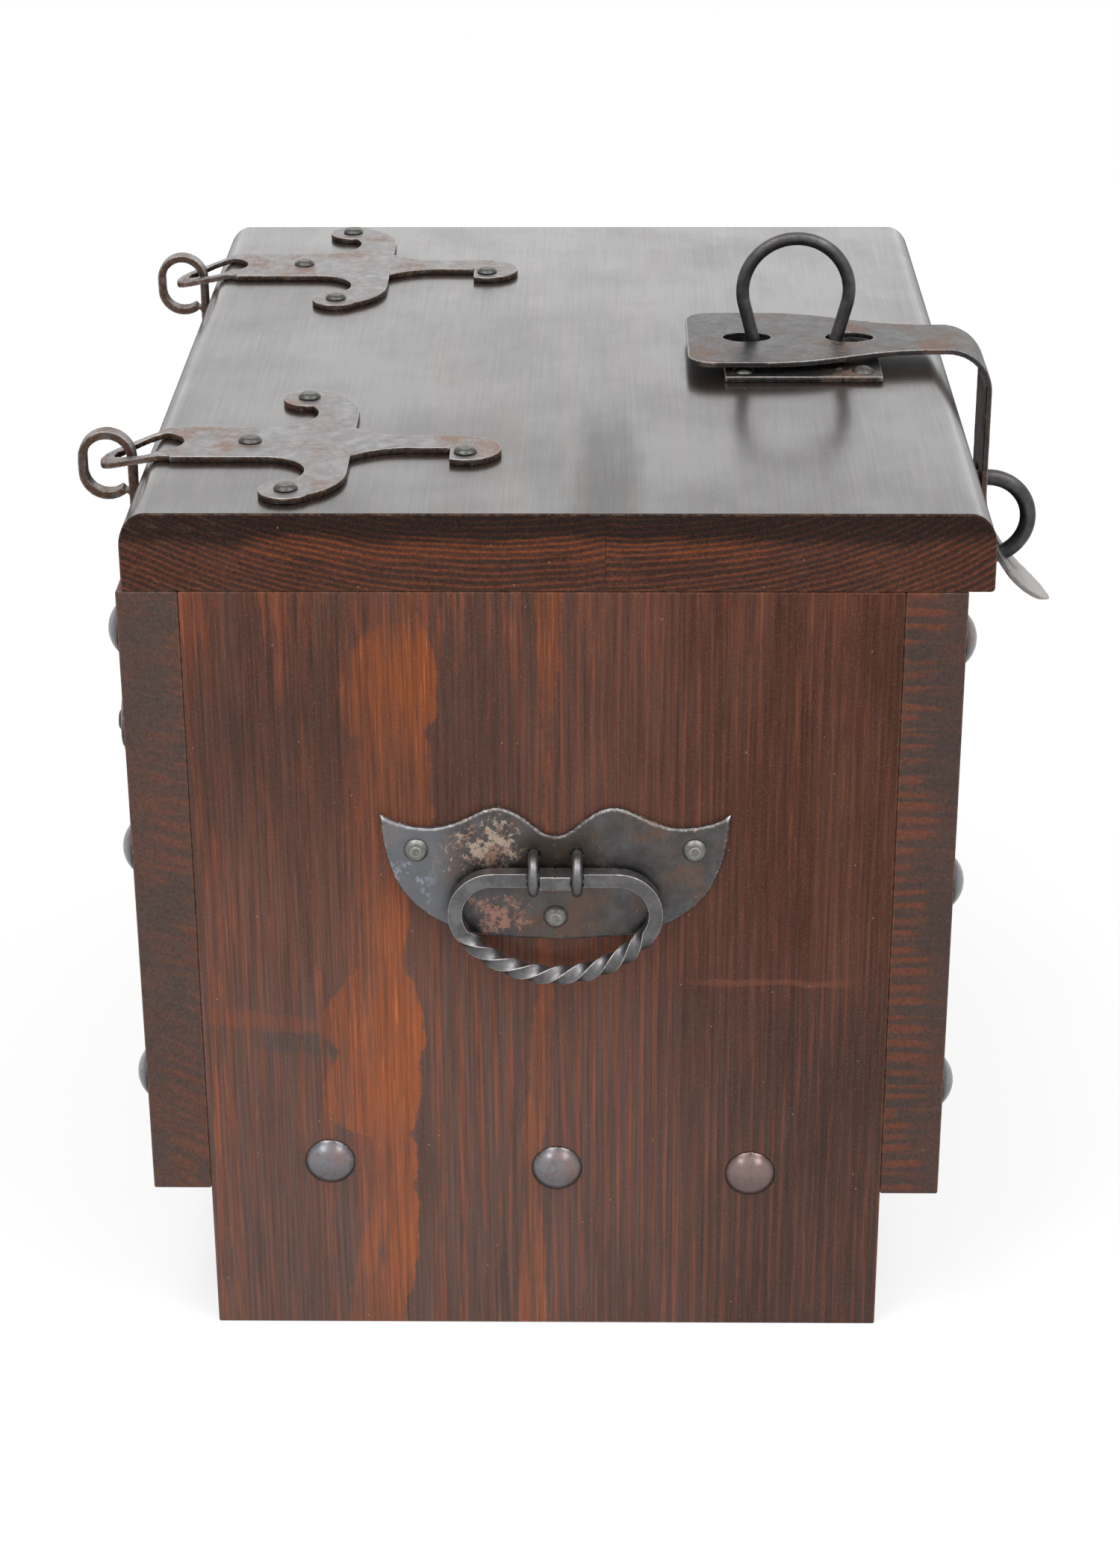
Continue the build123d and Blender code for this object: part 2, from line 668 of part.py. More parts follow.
def belly():
    """Square bar along the belly arc, twisted left-handed by whole quarter turns."""
    count = bail_quarter_turns * sections_per_quarter
    sections = []
    for step in range(count + 1):
        angle = belly_angle * (1 - 2 * step / count)
        centre = (0, belly_radius * sin(angle), belly_rise - belly_radius * cos(angle))
        twist = -90 * bail_quarter_turns * step / count
        place = Plane(origin=centre, x_dir=(1, 0, 0), z_dir=(0, -cos(angle), -sin(angle)))
        sections.append(place * Rot(0, 0, twist) * Rectangle(bail_bar, bail_bar))
    return loft(sections, ruled=True)


# Places of the metalwork

end_places = end_nail_places()
front_places = side_nail_places(front_y, -1, front_board_rise, front_nail_height_shares)
back_places = side_nail_places(back_y, 1, back_board_rise, back_nail_height_shares)
lid_staple_place = Pos(hardware_offset, lid_staple_y, lid_top_z + staple_plate_thickness)
lid_plate_place = lid_staple_place * Pos(0, lid_plate_shift, 0)
catch_origin = (hardware_offset, front_y - staple_plate_thickness, catch_z)
catch_place = Plane(origin=catch_origin, x_dir=(1, 0, 0), z_dir=(0, -1, 0)).location
lid_rivet_places = [lid_plate_place * p for p in plate_rivet_places(lid_plate_width)]
catch_rivet_places = [catch_place * p for p in plate_rivet_places(catch_plate_width)]
hinge_places = {"left": -hinge_x, "right": hinge_x}

# Holes in the boards and plates
side_bores = dome_bores(front_places) + dome_bores(back_places)
left_end_bores = dome_bores(end_places)
right_end_bores = [half_turned(hole) for hole in left_end_bores]
handle_bores = stud_bores(handle_nail_places())
handle_bores += [bore(p, eye_wire_radius, eye_shank_depth) for p in eye_leg_places()]
lid_foot = staple_foot(lid_staple_arch_radius, lid_staple_arch_height, lid_staple_lean)
lid_staple_bores = [lid_staple_place * hole for hole in staple_bores(lid_foot, lid_staple_wire_radius)]
catch_foot = staple_foot(catch_arch_radius, catch_arch_height, catch_lean)
catch_bores = [catch_place * hole for hole in staple_bores(catch_foot, catch_wire_radius)]
lid_plate_bores = lid_staple_bores + rivet_bores(lid_rivet_places)
catch_plate_bores = catch_bores + rivet_bores(catch_rivet_places)
strap_bores = []
for x in hinge_places.values():
    strap_bores += stud_bores(strap_nail_places(lid_strap_place(x)))
back_strap_bores = []
for x in hinge_places.values():
    back_strap_bores += stud_bores(strap_nail_places(back_strap_place(x)))

# Every piece under its own name
lid_front, lid_back = lid_boards(lid_blank())
nodes = {
    "left_end_board": end_board() - (side_bores + left_end_bores + handle_bores),
    "right_end_board": half_turned(end_board() - (left_end_bores + handle_bores)) - side_bores,
    "front_board": front_board() - (side_bores + catch_plate_bores),
    "back_board": back_board() - (side_bores + back_strap_bores),
    "bottom_board": bottom_board() - (side_bores + left_end_bores + right_end_bores),
    "left_end_nails": dome_nails(end_places),
    "right_end_nails": [half_turned(piece) for piece in dome_nails(end_places)],
    "front_nails": dome_nails(front_places),
    "back_nails": dome_nails(back_places),
    "lid_front_board": lid_front - lid_plate_bores,
    "lid_back_board": lid_back - strap_bores,
    "lid_staple_plate": lid_plate_place * staple_plate(lid_plate_width) - lid_plate_bores,
    "lid_staple": lid_staple_place * staple(lid_staple_arch_radius, lid_staple_arch_height,
                                            lid_staple_lean, lid_staple_wire_radius),
    "lid_staple_rivets": rivets(lid_rivet_places),
    "front_staple_plate": catch_place * staple_plate(catch_plate_width) - catch_plate_bores,
    "front_staple": catch_place * staple(catch_arch_radius, catch_arch_height, catch_lean, catch_wire_radius),
    "front_staple_rivets": rivets(catch_rivet_places),
    "hasp": hasp(),
}
for side, x in hinge_places.items():
    nodes[f"{side}_hinge_lid_strap"] = lid_strap(x) - strap_bores
    nodes[f"{side}_hinge_lid_nails"] = studs(strap_nail_places(lid_strap_place(x)))
    nodes[f"{side}_hinge_back_strap"] = back_strap(x) - back_strap_bores
    nodes[f"{side}_hinge_back_nails"] = studs(strap_nail_places(back_strap_place(x)))

handle = {
    "handle_plate": [handle_place() * handle_plate() - handle_bores],
    "handle_nails": studs(handle_nail_places()),
    "handle_eyes": wire_eyes(),
    "handle_bail": [Pos(bail_axis_x, handle_y, handle_rise) * bail()],
}
for name, pieces in handle.items():
    nodes[f"left_{name}"] = pieces
    nodes[f"right_{name}"] = [half_turned(piece) for piece in pieces]

os.makedirs("parts", exist_ok=True)
for name, piece in nodes.items():
    shape = Compound(piece) if isinstance(piece, list) else piece
    export_step(shape, f"parts/{name}.step")
    print(name, len(shape.solids()), round(shape.volume))
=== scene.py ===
import math

import bmesh
import bpy
import numpy as np
from bpy.props import FloatProperty, FloatVectorProperty, PointerProperty
from mathutils import Euler, Matrix, Vector


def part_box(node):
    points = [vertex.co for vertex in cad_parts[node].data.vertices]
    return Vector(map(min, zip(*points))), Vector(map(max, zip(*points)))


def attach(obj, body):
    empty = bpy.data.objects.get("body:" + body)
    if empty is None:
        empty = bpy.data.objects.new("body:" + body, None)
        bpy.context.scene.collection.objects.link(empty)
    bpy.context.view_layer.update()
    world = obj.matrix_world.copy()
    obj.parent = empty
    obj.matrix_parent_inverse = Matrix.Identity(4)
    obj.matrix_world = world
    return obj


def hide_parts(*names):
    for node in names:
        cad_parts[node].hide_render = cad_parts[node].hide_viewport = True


bl_info = {
    "name": "Boarded Chest Finish",
    "version": (1, 0, 0),
    "blender": (4, 5, 0),
    "location": "View3D > Sidebar > Chest",
    "description": "Stained boards, forged ironwork and a pale stage for a small boarded chest",
    "category": "Object",
}

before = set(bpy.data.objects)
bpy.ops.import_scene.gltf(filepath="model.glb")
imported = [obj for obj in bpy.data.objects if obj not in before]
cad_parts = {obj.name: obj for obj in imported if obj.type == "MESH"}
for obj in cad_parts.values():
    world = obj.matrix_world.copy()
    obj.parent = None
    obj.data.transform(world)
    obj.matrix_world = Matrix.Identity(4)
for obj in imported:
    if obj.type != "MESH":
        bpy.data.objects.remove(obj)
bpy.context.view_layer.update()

# Planes of the boards in metres, taken from the CAD parts
end_low, end_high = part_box("left_end_board")
lid_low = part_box("lid_front_board")[0]
lid_glue, lid_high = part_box("lid_back_board")
end_top, lid_top = end_high.z, lid_high.z


# Sizes and colours

def colour(name, description, default):
    return FloatVectorProperty(name=name, description=description, subtype="COLOR", size=3,
                               min=0.0, max=1.0, default=default)


def length(name, description, default):
    return FloatProperty(name=name, description=description, unit="LENGTH", min=0.0, default=default)


def amount(name, description, default, top=1.0):
    return FloatProperty(name=name, description=description, min=0.0, max=top, default=default)


def angle(name, description, degrees):
    return FloatProperty(name=name, description=description, subtype="ANGLE",
                         default=math.radians(degrees))


class ChestWood(bpy.types.PropertyGroup):
    """Stained and varnished pine."""

    dark: colour("Dark Stain", "Early wood, which drinks the most stain", (0.054, 0.018, 0.009))
    grey: colour("Grey Stain", "Stain left standing in the grain", (0.07, 0.043, 0.035))
    warm: colour("Red Brown", "Late wood and thinner stain", (0.165, 0.05, 0.025))
    thread: colour("Bright Thread", "Single fibres that stayed bare in the streaks", (0.5, 0.17, 0.05))
    pale: colour("Bare Streak", "Hard streaks that the stain hardly darkened", (0.225, 0.06, 0.018))
    chip: colour("Chipped Wood", "Fresh wood where an edge is chipped", (0.5, 0.33, 0.2))
    varnish_roughness: amount("Varnish Roughness", "Roughness of the satin varnish", 0.2)
    end_ring_spacing: length("End Board Rings", "Spacing of the growth rings in the end boards", 0.004)
    lid_ring_spacing: length("Lid Rings", "Spacing of the growth rings in the lid", 0.0024)
    side_ring_spacing: length("Side Rings", "Spacing of the growth rings in the front and back", 0.0058)


class ChestIron(bpy.types.PropertyGroup):
    """Forged and oil-blackened iron."""

    dark: colour("Dark Scale", "Blackened iron", (0.11, 0.108, 0.112))
    worn: colour("Worn Edge", "Iron rubbed bare along the edges", (0.42, 0.4, 0.38))
    rust: colour("Rust", "Brown rust in the hollows and on the edges", (0.14, 0.07, 0.038))
    nail: colour("Blued Nail", "Blued steel of the domed nails", (0.2, 0.198, 0.214))
    grain: length("Forging Grain", "Size of the cells that round the forged edges", 0.0005)
    mark_depth: length("Hammer Mark Depth", "Depth of the hammer marks", 0.00022)
    mark_size: length("Hammer Mark Size", "Size of the hammer marks", 0.007)


class ChestStage(bpy.types.PropertyGroup):
    """Floor, lamps and camera."""

    floor: colour("Floor", "Plain pale floor", (0.9, 0.9, 0.9))
    world_level: amount("Room Light", "Level of the room's even light", 0.72, 4.0)
    top_power: amount("Top Lamps", "Power of each soft lamp overhead, in watts", 20.0, 500.0)
    front_power: amount("Front Lamps", "Power of each soft lamp beside the camera, in watts", 3.0, 500.0)
    back_power: amount("Back Lamp", "Power of the broad soft lamp behind, in watts", 15.0, 500.0)
    camera_place: FloatVectorProperty(name="Camera Place", description="Where the camera stands",
                                      subtype="TRANSLATION", unit="LENGTH", size=3,
                                      default=(-1.24354, -0.00522, 0.72448))
    camera_turn: angle("Camera Turn", "Heading, from +X towards +Y", 0.863)
    camera_pitch: angle("Camera Pitch", "How far the camera looks down", 24.987)
    camera_roll: angle("Camera Roll", "Turn about its line of sight", -0.248)
    camera_lens: FloatProperty(name="Camera Lens", description="Focal length on a 24 mm high sensor",
                               min=1.0, default=49.478)


# Shader sums

class Value:
    """A shader socket that can be used in a Python sum."""

    def __init__(self, graph, socket):
        self.graph = graph
        self.socket = socket

    def out(self, name):
        """Another output of the same node."""
        return Value(self.graph, self.socket.node.outputs[name])

    def __add__(self, other):
        return self.graph.maths("ADD", self, other)

    def __radd__(self, other):
        return self.graph.maths("ADD", other, self)

    def __sub__(self, other):
        return self.graph.maths("SUBTRACT", self, other)

    def __rsub__(self, other):
        return self.graph.maths("SUBTRACT", other, self)

    def __mul__(self, other):
        return self.graph.maths("MULTIPLY", self, other)

    def __rmul__(self, other):
        return self.graph.maths("MULTIPLY", other, self)

    def __truediv__(self, other):
        return self.graph.maths("DIVIDE", self, other)

    def __rtruediv__(self, other):
        return self.graph.maths("DIVIDE", other, self)

    def __pow__(self, other):
        return self.graph.maths("POWER", self, other)


class Graph:
    """The nodes of one material or of the world."""

    def __init__(self, owner):
        owner.use_nodes = True
        self.tree = owner.node_tree
        self.tree.nodes.clear()

    def node(self, kind, output=0, settings=None, inputs=None):
        """Adds a node: its settings first, then the values or links of its sockets."""
        made = self.tree.nodes.new("ShaderNode" + kind)
        for key, value in (settings or {}).items():
            setattr(made, key, value)
        for key, value in (inputs or {}).items():
            socket = made.inputs[key]
            if isinstance(value, Value):
                self.tree.links.new(value.socket, socket)
            elif isinstance(value, (int, float)) or socket.type == "VECTOR":
                socket.default_value = value
            else:
                socket.default_value = (*value, 1.0)
        return Value(self, made.outputs[output]) if made.outputs else made

    def maths(self, operation, *values, clamp=False):
        return self.node("Math", 0, {"operation": operation, "use_clamp": clamp},
                         dict(enumerate(values)))

    def step(self, value, low, high):
        """Smooth step from 0 at low to 1 at high."""
        return self.node("MapRange", "Result", {"interpolation_type": "SMOOTHSTEP"},
                         {"Value": value, "From Min": low, "From Max": high})

    def band(self, value, centre, half, soft):
        """1 within half of the centre, and 0 from soft beyond that."""
        away = self.maths("ABSOLUTE", value - centre)
        return 1 - self.step(away, half, half + soft)

    def spot(self, first, second, borders):
        """1 inside two crossing bands."""
        return self.band(first, *borders[0]) * self.band(second, *borders[1])

    def curve(self, value, points):
        """Straight lines between points that lie within 0 and 1."""
        made = self.node("FloatCurve", 0, None, {"Value": value})
        mapping = made.socket.node.mapping
        line = mapping.curves[0]
        while len(line.points) < len(points):
            line.points.new(0.5, 0.5)
        for point, place in zip(line.points, sorted(points)):
            point.location = place
            point.handle_type = "VECTOR"
        mapping.update()
        return made

    def most(self, a, b):
        return self.maths("MAXIMUM", a, b)

    def least(self, a, b):
        return self.maths("MINIMUM", a, b)

    def vector(self, x, y, z):
        return self.node("CombineXYZ", 0, None, {"X": x, "Y": y, "Z": z})

    def place(self):
        """Object coordinates, whole and as X, Y and Z."""
        whole = self.node("TexCoord", "Object")
        parts = self.node("SeparateXYZ", "X", None, {"Vector": whole})
        return whole, parts, parts.out("Y"), parts.out("Z")

    def attribute(self, name):
        """A measure that was written at the mesh's points."""
        return self.node("Attribute", "Fac", {"attribute_name": name})

    def noise(self, vector, scale, detail=2.0, roughness=0.5):
        return self.node("TexNoise", 0, None, {"Vector": vector, "Scale": scale, "Detail": detail,
                                               "Roughness": roughness})

    def cells(self, vector, scale):
        return self.node("TexVoronoi", "Distance", None, {"Vector": vector, "Scale": scale})

    def blend(self, factor, first, second, way="MIX"):
        """Colour from first to second."""
        return self.node("Mix", 2, {"data_type": "RGBA", "blend_type": way},
                         {0: factor, 6: first, 7: second})

    def shaded(self, tone, level):
        """A colour at a varying share of its brightness."""
        return self.blend(1.0, tone, self.vector(level, level, level), "MULTIPLY")

    def seen_rays(self):
        """1 for what is seen directly, in a mirror or through glass, and 0 for light on other things."""
        rays = self.node("LightPath", "Is Camera Ray")
        return self.most(rays, self.most(rays.out("Is Glossy Ray"), rays.out("Is Transmission Ray")))

    def bump(self, height, distance, strength=1.0):
        return self.node("Bump", 0, None, {"Height": height, "Distance": distance, "Strength": strength})

    def surface(self, sockets):
        """Principled shader to the material's output."""
        shader = self.node("BsdfPrincipled", 0, None, sockets)
        self.node("OutputMaterial", 0, None, {"Surface": shader})


def new_graph(name):
    made = bpy.data.materials.new(name)
    return made, Graph(made)


def dimmed(tone, level):
    """A colour at a share of its brightness."""
    return [part * level for part in tone]


# Wood

# Outline of the pale streaks down the end board, as heights and the places of their edges in mm.
# Places are measured along Y from the middle of the whole chest.
streak_back_edge = (
    (0, 95), (10, 93), (24, 91), (40, 87), (52, 83), (70, 82), (84, 84), (88, 94), (96, 100),
    (106, 101), (116, 97), (121, 94), (128, 99), (136, 100), (142, 98), (150, 92), (158, 86),
    (180, 85), (198, 85), (214, 92), (230, 92), (240, 90), (247, 84), (256, 89), (264, 92),
    (274, 91), (283, 87), (290, 82), (296, 75), (306, 74))
streak_front_edge = (
    (0, 72), (10, 71), (20, 68), (34, 66), (46, 67), (54, 65), (62, 67), (74, 65), (86, 68),
    (90, 66), (100, 64), (108, 63), (116, 64), (128, 61), (138, 63), (148, 64), (156, 69),
    (168, 68), (200, 62), (220, 56), (228, 58), (242, 57), (254, 59), (258, 55), (276, 54),
    (286, 56), (294, 60), (306, 62))
thin_back_edge = (
    (0, 28), (20, 28), (34, 27), (50, 25), (66, 26), (80, 27), (96, 25), (110, 23), (130, 22),
    (150, 19), (200, 18), (222, 17), (258, 17), (270, 18), (290, 19), (306, 20))
thin_front_edge = (
    (0, 16), (20, 17), (34, 17), (50, 19), (66, 19), (80, 18), (96, 15), (110, 14), (130, 13),
    (150, 14), (200, 15), (222, 15), (258, 14), (270, 12), (290, 10), (306, 9))

# How strongly the wide streak shows, by share of the board's height
streak_strength = (
    (0.0, 0.6), (0.05, 0.75), (0.1, 0.95), (0.15, 0.9), (0.2, 0.75), (0.26, 0.7), (0.31, 0.85),
    (0.36, 0.9), (0.44, 0.85), (0.49, 0.6), (0.56, 0.55), (0.65, 0.5), (0.72, 0.4), (0.78, 0.45),
    (0.82, 0.65), (0.88, 0.95), (0.93, 0.95), (0.965, 0.5), (1.0, 0.35))

# Noises drawn out along the grain: squeeze along it, scale in cells per metre, detail and roughness
pore_figure = (0.02, 900.0, 2.0, 0.6)
thread_figure = (0.03, 1300.0, 2.0, 0.6)
brush_figure = (0.05, 260.0, 3.0, 0.65)
hair_figure = (0.07, 700.0, 3.0, 0.65)
broad_figure = (0.12, 75.0, 3.0, 0.6)
drift_figure = (0.13, 14.0, 4.0, 0.5)
patch_figure = (0.3, 30.0, 4.0, 0.6)

# Noises of the wood's other marks: scale in cells per metre, detail and roughness
ring_figure = (90.0, 2.0, 0.5)
ragged_figure = (190.0, 4.0, 0.65)
knot_figure = (70.0, 2.0, 0.5)
side_wisp_figure = (420.0, 3.0, 0.6)
lid_wisp_figure = (400.0, 3.0, 0.65)
lid_hair_figure = (1100.0, 2.0, 0.6)
scrape_figure = (700.0, 3.0, 0.6)
board_patch_figure = (34.0, 4.0, 0.6)
splinter_figure = (380.0, 4.0, 0.7)
rare_figure = (42.0, 2.0, 0.5)
crumb_patch_figure = (95.0, 1.0, 0.5)
haze_figure = (16.0, 4.0, 0.6)
speck_figure = (1500.0, 2.0, 0.8)

# Growth rings: how unevenly they lie, and where in each ring the late wood rises and ends
ring_unevenness = 1.6
late_rise = (0.2, 0.7)
late_end = (0.82, 1.0)

# Smudges across the grain of the end board: centre, half size and soft rim, first up and then along Y
pale_bar = ((0.134, 0.0015, 0.004), (0.122, 0.018, 0.008))
dark_bar = ((0.1265, 0.002, 0.004), (0.104, 0.014, 0.01))
knot_line = ((0.151, 0.0006, 0.0015), (-0.068, 0.018, 0.02))
bar_slope = 0.12

# Soft borders between the parts of the end board, in metres along Y or up from the floor
left_border = (0.098, 0.112)
low_border = (0.13, 0.17)
blur_border = (0.15, 0.19)
high_border = (0.16, 0.24)
foot_border = (0.0, 0.24)
grey_border = (-0.09, 0.05)
right_border = (-0.08, -0.02)
shade_border = (-0.07, 0.04)
middle_border = (-0.03, 0.03)
figure_border = (-0.03, 0.05)
glow_border = (-0.02, 0.04)
top_border = (end_top - 0.034, end_top - 0.004)

# Soft rims of the streaks' edges, in metres
streak_rim = (-0.0006, 0.001)
open_rim = 0.0012
blurred_rim = 0.002

# Chipped and rubbed edges of the boards, in metres in from the corner, and crumbs in cells per metre
chip_reach = 0.0019
chip_border = (0.0004, 0.0007)
rub_border = (0.0001, 0.0008)
crumb_scale = 200.0

# Pith line of the end boards, outside their face and along Y
end_pith = (end_low.x - 0.055, 0.08)

# Front, back and bottom boards, in metres: soft border of the end grain, in from each end, and the depth
# under the outer face to which its rings are faint
side_ends = (0.003, 0.001)
side_skin = (0.004, 0.013)

# Soft borders on the lid, in metres: its ends, varnished skin, stained upper band and scrapes, and the
# part with worn varnish, which lies towards -X
lid_ends = (lid_high.x - 0.0012, lid_high.x - 0.0006)
lid_skin = (lid_top - 0.006, lid_top - 0.001)
upper_border = (lid_top - 0.013, lid_top - 0.007)
scrape_border = (lid_top - 0.012, lid_top - 0.006)
worn_border = (0.05, 0.12)

# Bands on the lid: centre, half size and soft rim, along Y apart from the first, which is a height
warm_height = (lid_top - 0.0125, 0.002, 0.005)
warm_band = (0.03, 0.07, 0.04)
scrape_band = (0.147, 0.014, 0.014)
glue_line = (lid_glue.y, 0.00012, 0.0002)
worn_band = (lid_glue.y, 0.006, 0.008)

# Colour of the polish left in the pores
powder = (0.2, 0.17, 0.16)


def edge_curve(graph, height, table):
    """Place along Y, in metres, of a streak's edge at each height."""
    width = end_high.y - end_low.y
    points = [(mm * 0.001 / end_top, (place * 0.001 - end_low.y) / width) for mm, place in table]
    return graph.curve(height / end_top, points) * width + end_low.y


def grain_noise(graph, across, along, figure):
    """Noise drawn out along the grain."""
    squeeze, *rest = figure
    return graph.noise(graph.vector(*across, along * squeeze), *rest)


def growth_rings(graph, across, along, pith, spacing, wander):
    """Rings about a pith line, 0 in early wood and 1 in late wood, and a vector that runs with them."""
    u, v = across
    drift = grain_noise(graph, across, along, drift_figure) - 0.5
    du = u - pith[0]
    dv = v - pith[1]
    reach = (du * du + dv * dv) ** 0.5 + drift * wander
    flow = graph.vector(reach, (u + v) * 0.12, along * 0.04)
    uneven = graph.noise(flow, *ring_figure) - 0.5
    part = graph.maths("FRACT", reach / spacing + uneven * ring_unevenness)
    late = graph.step(part, *late_rise) * (1 - graph.step(part, *late_end))
    return late, flow


def edge_distance(graph, place, low, high):
    """Distance from the nearest long edge of a board's box: small only near two faces at once."""
    gaps = []
    for part, a, b in zip(place, low, high):
        gaps.append(graph.least(graph.maths("ABSOLUTE", part - a), graph.maths("ABSOLUTE", part - b)))
    x, y, z = gaps
    return graph.least(graph.least(x + y, y + z), x + z)


def finish_wood(graph, whole, place, corners, tone, relief, coat, settings, dusting=0.2):
    """Adds specks, chipped edges and varnish to a wood colour."""
    nearest = edge_distance(graph, place, *corners)
    ragged = graph.noise(whole, *splinter_figure)
    rare = graph.noise(whole, *rare_figure)
    chip = graph.step(ragged * chip_reach - nearest, *chip_border) * graph.step(rare, 0.66, 0.7)
    rubbed = (1 - graph.step(nearest, *rub_border)) * graph.step(ragged, 0.42, 0.6) * 0.35
    crumbs = 1 - graph.step(graph.cells(whole, crumb_scale), 0.03, 0.085)
    crumbs = crumbs * graph.step(graph.noise(whole, *crumb_patch_figure), 0.55, 0.62) * 0.4
    tone = graph.blend(rubbed, tone, dimmed(settings.chip, 0.62))
    tone = graph.blend(graph.most(chip, crumbs), tone, settings.chip)
    haze = graph.noise(whole, *haze_figure)
    speck = graph.noise(whole, *speck_figure)
    tone = graph.blend(graph.step(speck, 0.5, 0.75) * dusting, tone, powder)
    film = graph.maths("MULTIPLY", coat * (0.5 + haze), 1 - chip, clamp=True)
    graph.surface({"Base Color": tone, "Roughness": 0.4 + haze * 0.15 + chip * 0.25, "IOR": 1.15,
                   "Coat Weight": film, "Coat Roughness": settings.varnish_roughness, "Coat IOR": 1.5,
                   "Normal": graph.bump(relief - chip * 0.6, 0.0004, 0.4)})


def end_board_material(name, corners, mirrored, settings):
    """Upright grain with the pale streaks of the end boards."""
    made, graph = new_graph(name)
    whole, x, y, z = graph.place()
    side = y if not mirrored else (end_high.y + end_low.y) - y
    face = x if not mirrored else x * -1.0
    across = (face, side)
    late = growth_rings(graph, across, z, end_pith, settings.end_ring_spacing, wander=0.006)[0]
    fine = grain_noise(graph, across, z, pore_figure)
    brush = grain_noise(graph, across, z, brush_figure) - 0.5
    patch = grain_noise(graph, across, z, patch_figure) - 0.5
    broad = grain_noise(graph, across, z, broad_figure)
    hair = grain_noise(graph, across, z, hair_figure) - 0.5
    ragged = graph.noise(graph.vector(face, side * 0.7, z), *ragged_figure) - 0.5
    rough_side = side + ragged * 0.006 + brush * 0.003

    # Stain: grey and dark in the early wood, red brown in thin lines, mottles and two smudges
    left_part = graph.step(side, *left_border)
    lower = 1 - graph.step(z + patch * 0.04, *low_border)
    glow = graph.step(z + hair * 0.04 + patch * 0.04, *top_border)
    glow = glow * graph.step(broad + hair * 0.8, 0.46, 0.66)
    glow = glow * (0.3 + graph.step(side, *glow_border) * 0.7)
    lines = (graph.step(late + hair * 0.5, 0.55, 1.0) - 0.2) * (0.3 + lower * 0.26)
    lines = lines * (1 - left_part * 0.4) * graph.step(patch + hair * 0.8, -0.2, 0.08)
    mottle = graph.step(broad + hair * 0.5, 0.5, 0.76) * (0.14 + left_part * 0.24)
    bar_height = z - (side - pale_bar[1][0]) * bar_slope + ragged * 0.006
    bar = graph.spot(bar_height, side, pale_bar) - graph.spot(bar_height, side, dark_bar)
    uneven = (mottle + brush * 0.45 + hair * 0.75) * (0.5 + graph.step(side, *figure_border) * 0.5)
    warmth = graph.maths("ADD", lines + uneven, 0.24 + patch * 0.7 + glow * 0.6 + bar * 0.3, clamp=True)
    greyness = graph.maths("ADD", graph.step(side, *grey_border) * 0.6 + lower * 0.3,
                           0.15 + patch * 1.6, clamp=True)
    tone = graph.blend(warmth, graph.blend(greyness, settings.dark, settings.grey), settings.warm)

    # Pale streaks, a wide one that fades towards its back edge and a thin one, with bright threads
    back = edge_curve(graph, z, streak_back_edge)
    front = edge_curve(graph, z, streak_front_edge)
    blur = graph.step(z, *blur_border)
    behind = back - rough_side - brush * blur * 0.01
    wide = (graph.step(behind, streak_rim[0], open_rim + blur * blurred_rim)
            * graph.step(rough_side - front, *streak_rim))
    strength = graph.curve(z / end_top, streak_strength)
    share_across = (side + ragged * 0.008 - front) / (back - front)
    strong = 1.0 - graph.step(share_across, 0.36, 0.6) * 0.45
    inner = wide * strength * (strong + patch * 1.1 + brush * 1.1 + hair * 1.5)
    thin = (graph.step(edge_curve(graph, z, thin_back_edge) - rough_side, *streak_rim)
            * graph.step(rough_side - edge_curve(graph, z, thin_front_edge), *streak_rim))
    streak = graph.maths("ADD", inner, thin * (0.4 + patch + brush * 1.7), clamp=True)
    tone = graph.blend(streak, tone, settings.pale)
    threads = graph.step(grain_noise(graph, across, z, thread_figure) + patch * 0.3, 0.58, 0.74)
    tone = graph.blend(threads * (streak * 0.4 + mottle * 0.6 + glow * 0.2), tone, settings.thread)

    # Light and dark: pores, and darker towards the right, in the upper middle and in the lower right
    high_middle = graph.step(z, *high_border) * graph.step(side, *middle_border)
    low_right = lower * (1 - graph.step(side, *right_border))
    shade = (0.26 + fine * 1.48) * (0.8 + graph.step(side, *shade_border) * 0.2)
    tone = graph.shaded(tone, shade * (1 - high_middle * 0.22 - low_right * 0.22))
    knot_height = z + (graph.noise(whole, *knot_figure) - 0.5) * 0.006
    tone = graph.blend(graph.spot(knot_height, side, knot_line) * 0.4, tone, settings.warm)
    coat = 0.12 + (1 - graph.step(z, *foot_border)) * 0.3
    finish_wood(graph, whole, (x, y, z), corners, tone, fine * 0.3 + late * 0.2, coat, settings)
    return made


def side_board_material(name, corners, pith, strength, outer_y, level, settings):
    """Grain along X, with bands of growth rings across the ends."""
    made, graph = new_graph(name)
    whole, x, y, z = graph.place()
    late, flow = growth_rings(graph, (y, z), x, pith, settings.side_ring_spacing, wander=0.005)
    fine = grain_noise(graph, (y, z), x, pore_figure)
    wisp = graph.noise(flow, *side_wisp_figure) - 0.5
    patch = graph.noise(graph.vector(x * 0.3, y, z), *board_patch_figure) - 0.5
    half = corners[1].x
    end = graph.step(graph.maths("ABSOLUTE", x), half - side_ends[0], half - side_ends[1])
    outer = 1 - graph.step(graph.maths("ABSOLUTE", y - outer_y), *side_skin)
    clear = strength * (1 - end * outer * 0.85)
    warmth = graph.maths("ADD", late * clear * graph.step(patch + wisp * 0.5, -0.14, 0.06),
                         0.12 + wisp * 0.8 + patch * 1.1, clamp=True)
    tone = graph.shaded(graph.blend(warmth, settings.grey, settings.warm), (0.34 + fine * 0.95) * level)
    finish_wood(graph, whole, (x, y, z), corners, tone, fine * 0.3 + late * 0.2, 0.3, settings, 0.1)
    return made


